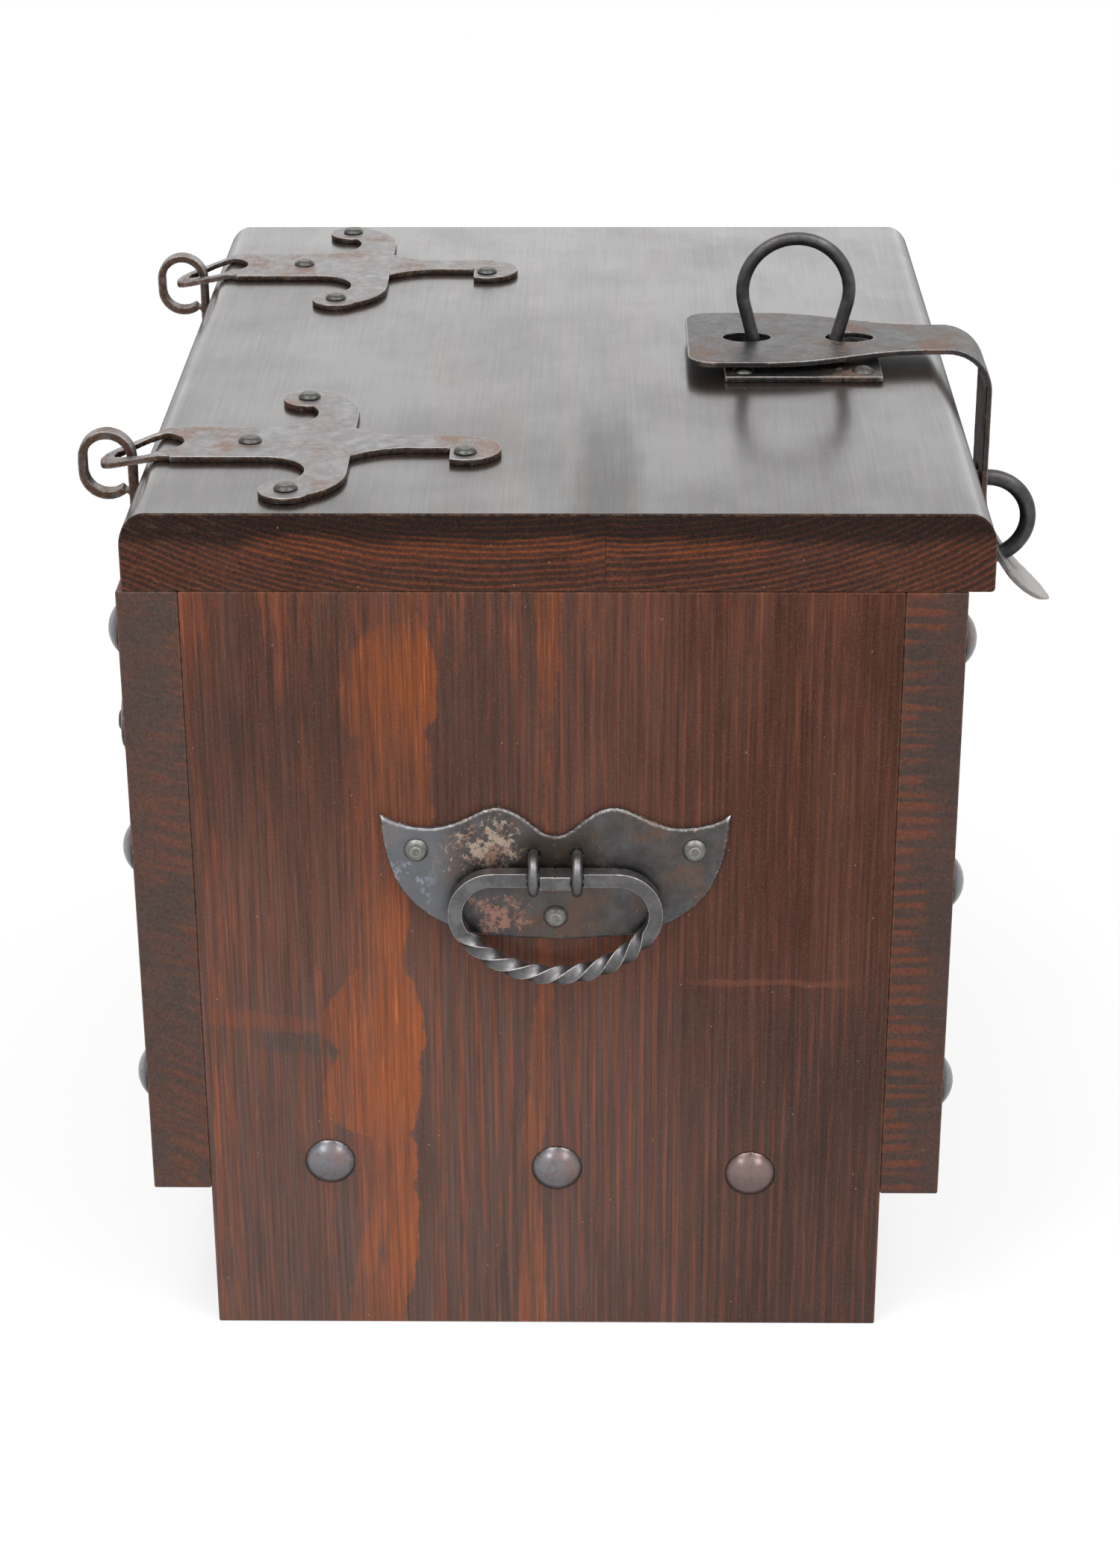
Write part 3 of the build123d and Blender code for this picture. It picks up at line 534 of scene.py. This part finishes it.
def lid_board_material(name, pith, settings):
    """Grain along X, ringed ends and a thick film of varnish on top."""
    made, graph = new_graph(name)
    whole, x, y, z = graph.place()
    late, flow = growth_rings(graph, (y, z), x, pith, settings.lid_ring_spacing, wander=0.009)
    late = graph.step(late, 0.3, 0.95)
    fine = grain_noise(graph, (y, z), x, pore_figure)
    wisp = graph.noise(flow, *lid_wisp_figure) - 0.5
    hair = graph.noise(flow, *lid_hair_figure) - 0.5
    patch = graph.noise(graph.vector(x * 0.3, y, z), *board_patch_figure) - 0.5

    # Parts of the board: its two ends, its outer skin, the stained upper band and a warm band below it
    end = graph.step(graph.maths("ABSOLUTE", x), *lid_ends)
    outer = graph.step(z, *lid_skin)
    upper = graph.step(z + patch * 0.012 + wisp * 0.004, *upper_border)
    glow = graph.band(z + wisp * 0.006 + patch * 0.008, *warm_height)
    glow = glow * graph.band(y + patch * 0.03, *warm_band)

    warmth = graph.maths("ADD", late * 0.75 + wisp + hair * 0.6,
                         0.08 + patch * 0.6 - upper * 0.45 + glow * 0.3, clamp=True)
    tone = graph.blend(warmth, graph.blend(patch + 0.4, settings.dark, settings.grey), settings.warm)
    bright = graph.step(late * 0.6 + wisp * 1.2 + glow * 0.4, 0.5, 0.95) * (0.4 + glow * 0.5)
    tone = graph.blend(bright, tone, settings.pale)
    scrape = graph.noise(flow, *scrape_figure) + graph.step(z, *scrape_border) * 0.05
    scrape = graph.step(scrape, 0.62, 0.7) * graph.band(y, *scrape_band) * 0.5
    tone = graph.blend(scrape, tone, dimmed(settings.chip, 0.4))
    glue = graph.band(y + wisp * 0.0002, *glue_line) * 0.7
    tone = graph.blend(glue, tone, settings.dark)
    shade = (0.08 + fine * 0.96) * (1 - upper * 0.6) * (1 - outer * (1 - end) * 0.6)
    tone = graph.shaded(tone, shade)

    # The film of varnish covers the skin but not the ends, and is worn near the glue line
    bare = graph.band(y + patch * 0.02, *worn_band) * graph.step(x * -1.0, *worn_border)
    film = 0.8 - bare * 0.3 + patch * 0.2 + (fine - 0.5) * 0.25 + wisp * 0.15
    coat = 0.08 + outer * (1 - end) * film
    relief = fine * 0.3 + late * 0.2
    finish_wood(graph, whole, (x, y, z), (lid_low, lid_high), tone, relief, coat, settings, 0.1)
    return made


# Iron

# Noises of the iron: scale in cells per metre, detail and roughness
cloud_figure = (55.0, 5.0, 0.65)
scale_figure = (180.0, 4.0, 0.6)
grit_figure = (620.0, 3.0, 0.7)
scratch_figure = (1300.0, 2.0, 0.8)
spread_figure = (75.0, 5.0, 0.7)
fleck_figure = (330.0, 5.0, 0.85)
mix_figure = (150.0, 3.0, 0.6)
nail_cloud_figure = (75.0, 4.0, 0.6)
nail_grit_figure = (500.0, 3.0, 0.7)
stud_cloud_figure = (260.0, 3.0, 0.6)
stud_grit_figure = (700.0, 3.0, 0.7)

# Patches on the handle plates: centre, half size and soft rim, first along Y and then up
cream_patch = ((0.038, 0.004, 0.02), (0.209, 0.003, 0.016))
copper_patch = ((0.031, 0.003, 0.019), (0.181, 0.002, 0.013))
soot_patch = ((0.0125, 0.008, 0.012), (0.203, 0.005, 0.01))
smear_patch = ((0.07, 0.008, 0.008), (0.196, 0.009, 0.006))
blue_wing = (0.066, 0.008, 0.014)

# The domed nail with the most bloom: centre, half size and soft rim along Y
bloomed_nail = (-0.061, 0.012, 0.002)

# Soft border of the hasp tongue's bright tip, in metres up from its tip: partly iron rubbed bare and
# partly a painted highlight
rubbed_and_highlight_tip_border = (0.004, 0.03)

# Colours of the handle plates' patches, and of the nails and studs
brown_scale = (0.125, 0.103, 0.092)
soot = (0.05, 0.036, 0.026)
blue_grey = (0.18, 0.19, 0.21)
pale_blue = (0.28, 0.31, 0.36)
fleck_brown = (0.24, 0.15, 0.11)
copper_red, copper_brown = (0.45, 0.19, 0.14), (0.33, 0.2, 0.15)
tan, cream = (0.4, 0.22, 0.16), (0.52, 0.4, 0.31)
nail_bloom = (0.21, 0.15, 0.14)
stud_steel, stud_dirt, stud_wear_and_highlight = (0.2, 0.2, 0.19), (0.12, 0.105, 0.09), (0.5, 0.5, 0.47)


def iron_material(name, settings, level=1.0, warmth=0.5, wear=0.6, flank=0.0, patina=False, painted_light_strength=0.44,
                  tip=None):
    """Blackened iron with rubbed edges, rust and scratches, painted lighter where it faces up and darker
    where it faces down, with a bright tip that is partly rubbed bare and partly a painted highlight.
    """
    made, graph = new_graph(name)
    whole, _, y, z = graph.place()
    cloud = graph.noise(whole, *cloud_figure)
    scale = graph.noise(whole, *scale_figure)
    grit = graph.noise(whole, *grit_figure)
    dark = dimmed(settings.dark, level)
    tone = graph.blend(graph.step(scale, 0.35, 0.7), dimmed(dark, 0.8), dimmed(dark, 1.3))
    tone = graph.blend(graph.step(cloud, 0.3, 0.7) * warmth, tone, dimmed(brown_scale, level))
    rust = graph.step(cloud + (grit - 0.5) * 0.4, 0.6 - warmth * 0.1, 0.72 - warmth * 0.1) * warmth
    tone = graph.blend(rust * 0.7, tone, settings.rust)
    if flank:
        side = graph.step(graph.attribute("flank"), 0.45, 0.85) * flank
        crust = graph.blend(graph.step(grit, 0.4, 0.7), dimmed(settings.rust, 0.4), settings.rust)
        tone = graph.blend(side * graph.step(scale, 0.25, 0.55), tone, crust)
    if patina:
        tone = heat_colours(graph, tone, whole, y, z)
    # Near the tip: partly iron rubbed bare and partly a painted highlight
    if tip is not None:
        start, end = rubbed_and_highlight_tip_border
        rubbed_and_highlight_tip = 1 - graph.step(z + (cloud - 0.5) * 0.02, tip + start, tip + end)
        tone = graph.blend(rubbed_and_highlight_tip * 0.7, tone, settings.worn)
    rubbed = graph.step(graph.attribute("edge") + (grit - 0.5) * 0.5, 0.2, 0.5)
    tone = graph.blend(rubbed * wear, tone, settings.worn)
    scratches = graph.step(graph.noise(whole, *scratch_figure), 0.58, 0.74)
    scratches = scratches * graph.step(cloud, 0.42, 0.6) * 0.3
    tone = graph.blend(scratches, tone, dimmed(settings.worn, 0.8))
    # Painted light: lighter where the surface faces up and darker where it faces down
    tone = graph.shaded(tone, 1 - painted_light_strength / 2 + graph.attribute("lift") * painted_light_strength)
    rough = 0.36 + cloud * 0.2 + rust * 0.2 + (grit - 0.5) * 0.2
    height = scale * 0.5 + grit * 0.3 + cloud * 0.6
    graph.surface({"Base Color": tone, "Metallic": 1.0 - rust * 0.5, "Roughness": rough,
                   "Normal": graph.bump(height, 0.0003, 0.55)})
    return made


def heat_colours(graph, tone, whole, y, z):
    """Heat colours of the handle plates: cream and copper flecks, soot, and a blue grey wing."""
    spread = graph.noise(whole, *spread_figure) - 0.5
    fleck = graph.noise(whole, *fleck_figure) - 0.5
    mix = graph.noise(whole, *mix_figure)
    tone = graph.blend(graph.spot(y, z, soot_patch) * 0.75, tone, soot)
    tone = graph.blend(graph.band(y, *blue_wing) * 0.6, tone, blue_grey)
    smear = graph.step(spread + fleck * 0.3, 0.06, 0.1) * graph.spot(y, z, smear_patch)
    tone = graph.blend(smear * 0.7, tone, pale_blue)
    strewn = graph.step(fleck * 1.2 + spread * 0.5, 0.22, 0.32)
    tone = graph.blend(strewn * 0.3, tone, fleck_brown)
    low_flecks = graph.step(graph.spot(y, z, copper_patch) * 0.4 + spread + fleck * 1.6, 0.32, 0.46)
    tone = graph.blend(low_flecks * 0.7, tone, graph.blend(mix, copper_red, copper_brown))
    high_flecks = graph.step(graph.spot(y, z, cream_patch) * 0.42 + spread + fleck * 1.5, 0.32, 0.44)
    return graph.blend(high_flecks * 0.72, tone, graph.blend(graph.step(mix, 0.45, 0.55), tan, cream))


def blued_material(name, settings):
    """Smooth blued steel with a little brown bloom, most on one nail, painted lighter where it faces up
    and with painted shade at the rim of each head.
    """
    made, graph = new_graph(name)
    whole, _, y, _ = graph.place()
    cloud = graph.noise(whole, *nail_cloud_figure)
    grit = graph.noise(whole, *nail_grit_figure)
    bloom = graph.step(cloud + graph.band(y, *bloomed_nail) * 0.2, 0.46, 0.66)
    tone = graph.blend(bloom, settings.nail, nail_bloom)
    tone = graph.blend(graph.step(grit, 0.5, 0.7) * 0.6, tone, settings.dark)
    # Painted light: lighter where the head faces up, and painted shade at the rim of each head
    lit = 0.7 + graph.step(graph.attribute("lift") + (cloud - 0.5) * 0.3, 0.3, 0.8) * 0.5
    rim = graph.step(graph.attribute("reach"), 0.74, 1.0)
    tone = graph.shaded(tone, lit * (1 - rim * 0.6))
    graph.surface({"Base Color": tone, "Metallic": 1.0, "Roughness": 0.17 + cloud * 0.12 + grit * 0.1,
                   "Normal": graph.bump(cloud + grit * 0.3, 0.0003, 0.35)})
    return made


def stud_material(name, settings, level):
    """Filed stud heads: a small raised facet with a painted highlight round its edge, edges rubbed
    bright and dirt between them.
    """
    made, graph = new_graph(name)
    whole = graph.place()[0]
    grit = graph.noise(whole, *stud_grit_figure)
    cloud = graph.noise(whole, *stud_cloud_figure)
    reach = graph.attribute("reach") + (cloud - 0.5) * 0.12
    facet = 1 - graph.step(reach, 0.36, 0.42)
    painted_facet_highlight = graph.band(reach, 0.39, 0.03, 0.05)
    dirt = graph.step(grit, 0.35, 0.65) * 0.6
    tone = graph.blend(dirt, dimmed(stud_steel, level), dimmed(stud_dirt, level))
    worn = graph.step(graph.attribute("edge") + (grit - 0.5) * 0.4, 0.4, 0.8)
    # Rubbed edges, and a painted highlight in a ring round the raised facet
    tone = graph.blend(graph.most(painted_facet_highlight * 0.4, worn * 0.7), tone, dimmed(stud_wear_and_highlight, level))
    graph.surface({"Base Color": tone, "Metallic": 1.0, "Roughness": 0.36 + grit * 0.2,
                   "Normal": graph.bump(facet + cloud * 0.3 + grit * 0.2, 0.0003, 0.7)})
    return made


# Forging

# Points of the CAD meshes nearer than this are joined, in metres
weld = 0.000002

# Noise at this level leaves the surface where it is. Most of it lies lower, so most marks go inwards.
still_level = 0.8

# The fine scale beside the hammer marks: its size is a fifth of theirs, and its depth a third
scale_size_share = 1 / 5
scale_depth_share = 1 / 3

# How strongly the slope at a point turns into the edge attribute
edge_gain = 4

# Cell, depth of marks and depth filed off the heads of the small pieces, in metres. A cut of 0 files
# nothing off, but the head's radius is measured.
domed_nail = {"cell": 0.00045, "mark": 0.00005, "cut": 0.0, "smooth": 10}
handle_stud = {"cell": 0.0003, "mark": 0.0001, "cut": 0.001}
hinge_stud = {"cell": 0.0004, "mark": 0.0003, "cut": 0.0009}
staple_wire = {"cell": 0.0004, "mark": 0.0001}
eye_wire = {"cell": 0.00035, "mark": 0.0001}
bail_wire = {"cell": 0.0003, "mark": 0.0001}


def paint(node, material):
    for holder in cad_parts[node].material_slots:
        holder.material = material


def new_object(name, mesh):
    made = bpy.data.objects.new(name, mesh)
    bpy.context.scene.collection.objects.link(made)
    return made


def merged_copy(node, name):
    """A CAD node's mesh as a new object, with its loose triangles joined."""
    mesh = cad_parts[node].data.copy()
    mesh.name = name
    work = bmesh.new()
    work.from_mesh(mesh)
    bmesh.ops.remove_doubles(work, verts=work.verts, dist=weld)
    work.to_mesh(mesh)
    work.free()
    return new_object(name, mesh)


def add_modifier(piece, kind, **settings):
    made = piece.modifiers.new(kind.title(), kind)
    for key, value in settings.items():
        setattr(made, key, value)


def add_dents(piece, name, size, depth):
    """Displaces the surface by cloud noise, mostly inwards."""
    texture = bpy.data.textures.new(name, "CLOUDS")
    texture.noise_scale = size
    texture.noise_depth = 2
    add_modifier(piece, "DISPLACE", texture=texture, strength=depth, mid_level=still_level,
                 texture_coords="LOCAL")


def apply_modifiers(piece):
    """Bakes the modifiers into the piece's mesh."""
    graph = bpy.context.evaluated_depsgraph_get()
    graph.update()
    baked = bpy.data.meshes.new_from_object(piece.evaluated_get(graph))
    piece.modifiers.clear()
    old = piece.data
    piece.data = baked
    bpy.data.meshes.remove(old)


def edge_pairs(mesh):
    pairs = np.zeros(len(mesh.edges) * 2, dtype=int)
    mesh.edges.foreach_get("vertices", pairs)
    return pairs.reshape(-1, 2)


def point_values(mesh, key):
    values = np.zeros(len(mesh.vertices) * 3)
    mesh.vertices.foreach_get(key, values)
    return values.reshape(-1, 3)


def write_attribute(mesh, name, values):
    mesh.attributes.new(name, "FLOAT", "POINT").data.foreach_set("value", np.clip(values, 0, 1))


def measure_edges(piece, axis):
    """Writes three measures at each point.

    edge is how convex it is, flank how far off the axis it faces and lift how far up it faces.
    """
    mesh = piece.data
    points = point_values(mesh, "co")
    normals = point_values(mesh, "normal")
    pairs = edge_pairs(mesh)
    level = np.zeros(len(points))
    near = np.zeros(len(points))
    for a, b in ((pairs[:, 0], pairs[:, 1]), (pairs[:, 1], pairs[:, 0])):
        away = points[a] - points[b]
        away /= np.maximum(np.linalg.norm(away, axis=1, keepdims=True), 1e-9)
        np.add.at(level, a, np.sum(away * normals[a], axis=1))
        np.add.at(near, a, 1)
    level /= np.maximum(near, 1)
    for _ in range(2):
        total = level.copy()
        np.add.at(total, pairs[:, 0], level[pairs[:, 1]])
        np.add.at(total, pairs[:, 1], level[pairs[:, 0]])
        level = total / (near + 1)
    write_attribute(mesh, "edge", level * edge_gain)
    write_attribute(mesh, "flank", 1 - np.abs(normals[:, axis]))
    write_attribute(mesh, "lift", (1 + normals[:, 2]) / 2)


def loose_parts(mesh):
    """The points of each loose part of a mesh, as lists of indices."""
    labels = np.arange(len(mesh.vertices))
    pairs = edge_pairs(mesh)
    before = None
    while before is None or not np.array_equal(before, labels):
        before = labels.copy()
        np.minimum.at(labels, pairs[:, 0], labels[pairs[:, 1]])
        np.minimum.at(labels, pairs[:, 1], labels[pairs[:, 0]])
    return [np.flatnonzero(labels == label) for label in np.unique(labels)]


def away_from(points, middle, axis):
    """Distance of points from a line through the middle along the axis."""
    flat = [part for part in range(3) if part != axis]
    return np.linalg.norm((points - middle)[:, flat], axis=1)


def file_heads(piece, axis, cut):
    """Files the domed heads of nails flat, and returns the middle and radius of each head."""
    mesh = piece.data
    points = point_values(mesh, "co")
    heads = []
    for part in loose_parts(mesh):
        own = points[part]
        middle = (own.min(axis=0) + own.max(axis=0)) / 2
        away = away_from(own, middle, axis)
        rim = own[np.argmax(away), axis]
        low, high = own[:, axis].min(), own[:, axis].max()
        if high - rim < rim - low:
            own[:, axis] = np.minimum(own[:, axis], high - cut)
        else:
            own[:, axis] = np.maximum(own[:, axis], low + cut)
        points[part] = own
        heads.append((middle, away.max()))
    mesh.vertices.foreach_set("co", points.ravel())
    return heads


def measure_reach(mesh, heads, axis):
    """Writes the share of the head's radius at each point as reach."""
    points = point_values(mesh, "co")
    shares = [away_from(points, middle, axis) / radius for middle, radius in heads]
    write_attribute(mesh, "reach", np.min(shares, axis=0))


def forge(node, body, material, settings, cell=None, mark=None, axis=2, cut=None, smooth=2):
    """Rounds a CAD piece's edges, dents it with hammer marks and lets it stand for the node.

    The axis is the one that a plate's broad face or a nail's head looks along. Heads are filed by cut.
    """
    piece = merged_copy(node, "forged_" + node)
    heads = None if cut is None else file_heads(piece, axis, cut)
    cell = cell or settings.grain
    mark = mark or settings.mark_depth
    add_modifier(piece, "REMESH", mode="VOXEL", voxel_size=cell, use_smooth_shade=True)
    add_modifier(piece, "SMOOTH", factor=0.5, iterations=smooth)
    add_dents(piece, "hammer_marks", settings.mark_size, mark)
    add_dents(piece, "iron_scale", settings.mark_size * scale_size_share, mark * scale_depth_share)
    apply_modifiers(piece)
    piece.data.materials.clear()
    piece.data.materials.append(material)
    measure_edges(piece, axis)
    if heads:
        measure_reach(piece.data, heads, axis)
    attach(piece, body)
    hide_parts(node)


# Stage, boards and nails

# Places, aims and sizes of the lamps in metres
top_lamps = (("top_lamp_left", (-0.6, 0.65, 1.9)), ("top_lamp_right", (-0.6, -1.0, 1.9)))
front_lamps = (("front_lamp_left", (-1.5, 0.95, 1.1)), ("front_lamp_right", (-1.5, -0.95, 1.1)))
back_lamp_place = (2.2, 0.0, 1.25)
low_aim, high_aim = (0.0, 0.0, 0.2), (0.0, 0.0, 0.3)
top_size, front_size, back_size = (1.0, 1.0), (0.5, 0.5), (3.0, 1.7)

# Half the floor's side, and the ring around the chest where the floor turns into plain white, in metres
floor_half = 6.0
floor_fade = (0.5, 1.8)

# Front, back and bottom boards: pith line along Y and up, strength of the rings and level of the colour
side_boards = (("front_board", (-0.118, -0.07), 1.1, 0.76), ("back_board", (0.21, -0.02), 0.35, 0.95),
               ("bottom_board", (0.02, -0.05), 0.5, 0.9))
lid_boards = (("lid_back_board", (0.036, 0.57)), ("lid_front_board", (-0.012, 0.55)))

# Domed nails, and the axis that their heads look along
domed_nails = (("left_end_nails", 0), ("right_end_nails", 0), ("front_nails", 1), ("back_nails", 1))


# Operators

class CHEST_OT_stage(bpy.types.Operator):
    """Sets the floor, the lamps, the world and the camera"""

    bl_idname = "chest.stage"
    bl_label = "Stage"

    def execute(self, context):
        settings = context.scene.chest_stage
        self.make_floor(settings)
        self.make_world(context, settings)
        for name, place in top_lamps:
            self.make_lamp(name, place, low_aim, top_size, settings.top_power)
        for name, place in front_lamps:
            self.make_lamp(name, place, low_aim, front_size, settings.front_power)
        self.make_lamp("back_lamp", back_lamp_place, high_aim, back_size, settings.back_power)
        self.make_camera(context, settings)
        context.scene.view_settings.view_transform = "Standard"
        return {"FINISHED"}

    @staticmethod
    def make_floor(settings):
        work = bmesh.new()
        bmesh.ops.create_grid(work, x_segments=1, y_segments=1, size=floor_half)
        mesh = bpy.data.meshes.new("floor")
        work.to_mesh(mesh)
        work.free()
        floor = new_object("floor", mesh)
        material, graph = new_graph("pale_floor")
        whole, x, y, _ = graph.place()
        grey = graph.blend(graph.noise(whole, 3.0), settings.floor, dimmed(settings.floor, 0.985))
        lit = graph.node("BsdfDiffuse", 0, None, {"Color": grey})
        white = graph.node("Emission", 0, None, {"Color": (1.0, 1.0, 1.0), "Strength": 1.0})
        fade = 0.7 + graph.step((x * x + y * y) ** 0.5, *floor_fade) * 0.3
        mixed = graph.node("MixShader", 0, None, {0: graph.seen_rays() * fade, 1: lit, 2: white})
        graph.node("OutputMaterial", 0, None, {"Surface": mixed})
        mesh.materials.append(material)

    @staticmethod
    def make_world(context, settings):
        world = bpy.data.worlds.new("white_room")
        context.scene.world = world
        graph = Graph(world)
        level = settings.world_level
        even = graph.node("Background", 0, None, {"Color": (1.0, 1.0, 1.0), "Strength": level})
        white = graph.node("Background", 0, None, {"Color": (1.0, 1.0, 1.0), "Strength": 1.0})
        mixed = graph.node("MixShader", 0, None, {0: graph.seen_rays(), 1: even, 2: white})
        graph.node("OutputWorld", 0, None, {"Surface": mixed})

    @staticmethod
    def make_lamp(name, place, aim, size, power):
        lamp = bpy.data.lights.new(name, "AREA")
        lamp.shape = "RECTANGLE"
        lamp.size, lamp.size_y = size
        lamp.energy = power
        holder = new_object(name, lamp)
        holder.location = place
        holder.rotation_euler = (Vector(place) - Vector(aim)).to_track_quat("Z", "Y").to_euler()
        holder.visible_camera = False

    @staticmethod
    def make_camera(context, settings):
        camera = bpy.data.cameras.new("camera")
        camera.sensor_fit = "VERTICAL"
        camera.sensor_height = 24.0
        camera.lens = settings.camera_lens
        camera.clip_start = 0.05
        holder = new_object("camera", camera)
        heading = Euler((math.pi / 2 - settings.camera_pitch, 0, settings.camera_turn - math.pi / 2))
        turn = heading.to_matrix() @ Matrix.Rotation(settings.camera_roll, 3, "Z")
        holder.matrix_world = Matrix.LocRotScale(Vector(settings.camera_place), turn, None)
        context.scene.camera = holder


class CHEST_OT_boards(bpy.types.Operator):
    """Stains and varnishes the boards"""

    bl_idname = "chest.boards"
    bl_label = "Boards"

    def execute(self, context):
        settings = context.scene.chest_wood
        for side, mirrored in (("left", False), ("right", True)):
            node = side + "_end_board"
            paint(node, end_board_material(side + "_end_pine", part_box(node), mirrored, settings))
        for node, pith, strength, level in side_boards:
            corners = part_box(node)
            outer_y = corners[0].y if node == "front_board" else corners[1].y
            pine = side_board_material(node + "_pine", corners, pith, strength, outer_y, level, settings)
            paint(node, pine)
        for node, pith in lid_boards:
            paint(node, lid_board_material(node + "_pine", pith, settings))
        return {"FINISHED"}


class CHEST_OT_nails(bpy.types.Operator):
    """Blues the domed nails, and files and blackens the studs and rivets"""

    bl_idname = "chest.nails"
    bl_label = "Nails"

    def execute(self, context):
        settings = context.scene.chest_iron
        blued = blued_material("blued_steel", settings)
        for node, axis in domed_nails:
            forge(node, "carcass", blued, settings, axis=axis, **domed_nail)
        bright = stud_material("filed_studs", settings, 1.0)
        black = stud_material("black_studs", settings, 0.42)
        for side in ("left", "right"):
            forge(side + "_handle_nails", "carcass", bright, settings, axis=0, **handle_stud)
            forge(side + "_hinge_lid_nails", "lid", black, settings, axis=2, **hinge_stud)
            forge(side + "_hinge_back_nails", "carcass", black, settings, axis=1, **hinge_stud)
        for node in ("lid_staple_rivets", "front_staple_rivets"):
            paint(node, black)
        return {"FINISHED"}


class CHEST_OT_hinges(bpy.types.Operator):
    """Forges the strap hinges"""

    bl_idname = "chest.hinges"
    bl_label = "Hinges"

    def execute(self, context):
        settings = context.scene.chest_iron
        iron = iron_material("hinge_iron", settings, level=1.25, warmth=0.7, wear=0.3, flank=0.85)
        for side in ("left", "right"):
            forge(side + "_hinge_lid_strap", "lid", iron, settings)
            forge(side + "_hinge_back_strap", "carcass", iron, settings, axis=1)
        return {"FINISHED"}


class CHEST_OT_lock(bpy.types.Operator):
    """Forges the hasp, the staples and their plates"""

    bl_idname = "chest.lock"
    bl_label = "Hasp and Staples"

    def execute(self, context):
        settings = context.scene.chest_iron
        finish = {"level": 0.46, "warmth": 0.7, "wear": 0.4}
        iron = iron_material("hasp_iron", settings, **finish)
        tongue = iron_material("tongue_iron", settings, tip=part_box("hasp")[0].z, **finish)
        wire = iron_material("staple_iron", settings, level=0.65, warmth=0.2, wear=0.3)
        forge("hasp", "hasp", tongue, settings)
        forge("lid_staple", "lid", wire, settings, **staple_wire)
        forge("front_staple", "carcass", wire, settings, **staple_wire)
        forge("lid_staple_plate", "lid", iron, settings)
        forge("front_staple_plate", "carcass", iron, settings, axis=1)
        return {"FINISHED"}


class CHEST_OT_handles(bpy.types.Operator):
    """Forges the drop handles, their plates and eyes"""

    bl_idname = "chest.handles"
    bl_label = "Handles"

    def execute(self, context):
        settings = context.scene.chest_iron
        plate = iron_material("handle_plate_iron", settings, level=0.76, warmth=0.7, wear=0.85,
                              patina=True)
        iron = iron_material("handle_iron", settings, level=1.15, warmth=0.1, wear=0.75, painted_light_strength=1.0)
        for side in ("left", "right"):
            forge(side + "_handle_plate", "carcass", plate, settings, axis=0)
            forge(side + "_handle_eyes", "carcass", iron, settings, axis=0, **eye_wire)
            forge(side + "_handle_bail", side + "_bail", iron, settings, axis=0, **bail_wire)
        return {"FINISHED"}


class CHEST_PT_panel(bpy.types.Panel):
    """The steps of the chest's finish"""

    bl_label = "Chest Finish"
    bl_idname = "CHEST_PT_panel"
    bl_space_type = "VIEW_3D"
    bl_region_type = "UI"
    bl_category = "Chest"

    def draw(self, context):
        for step in steps:
            self.layout.operator(step.bl_idname)
        for group in groups:
            box = self.layout.box()
            holder = getattr(context.scene, group)
            for key in holder.__annotations__:
                box.prop(holder, key)


groups = {"chest_wood": ChestWood, "chest_iron": ChestIron, "chest_stage": ChestStage}
steps = (CHEST_OT_stage, CHEST_OT_boards, CHEST_OT_nails, CHEST_OT_hinges, CHEST_OT_lock,
         CHEST_OT_handles)


def register():
    for part in (*groups.values(), *steps, CHEST_PT_panel):
        bpy.utils.register_class(part)
    for name, group in groups.items():
        setattr(bpy.types.Scene, name, PointerProperty(type=group))


def unregister():
    for name in groups:
        delattr(bpy.types.Scene, name)
    for part in (CHEST_PT_panel, *reversed(steps), *groups.values()):
        bpy.utils.unregister_class(part)


def main():
    register()
    bpy.ops.chest.stage()
    bpy.ops.chest.boards()
    bpy.ops.chest.nails()
    bpy.ops.chest.hinges()
    bpy.ops.chest.lock()
    bpy.ops.chest.handles()


if __name__ == "__main__":
    main()
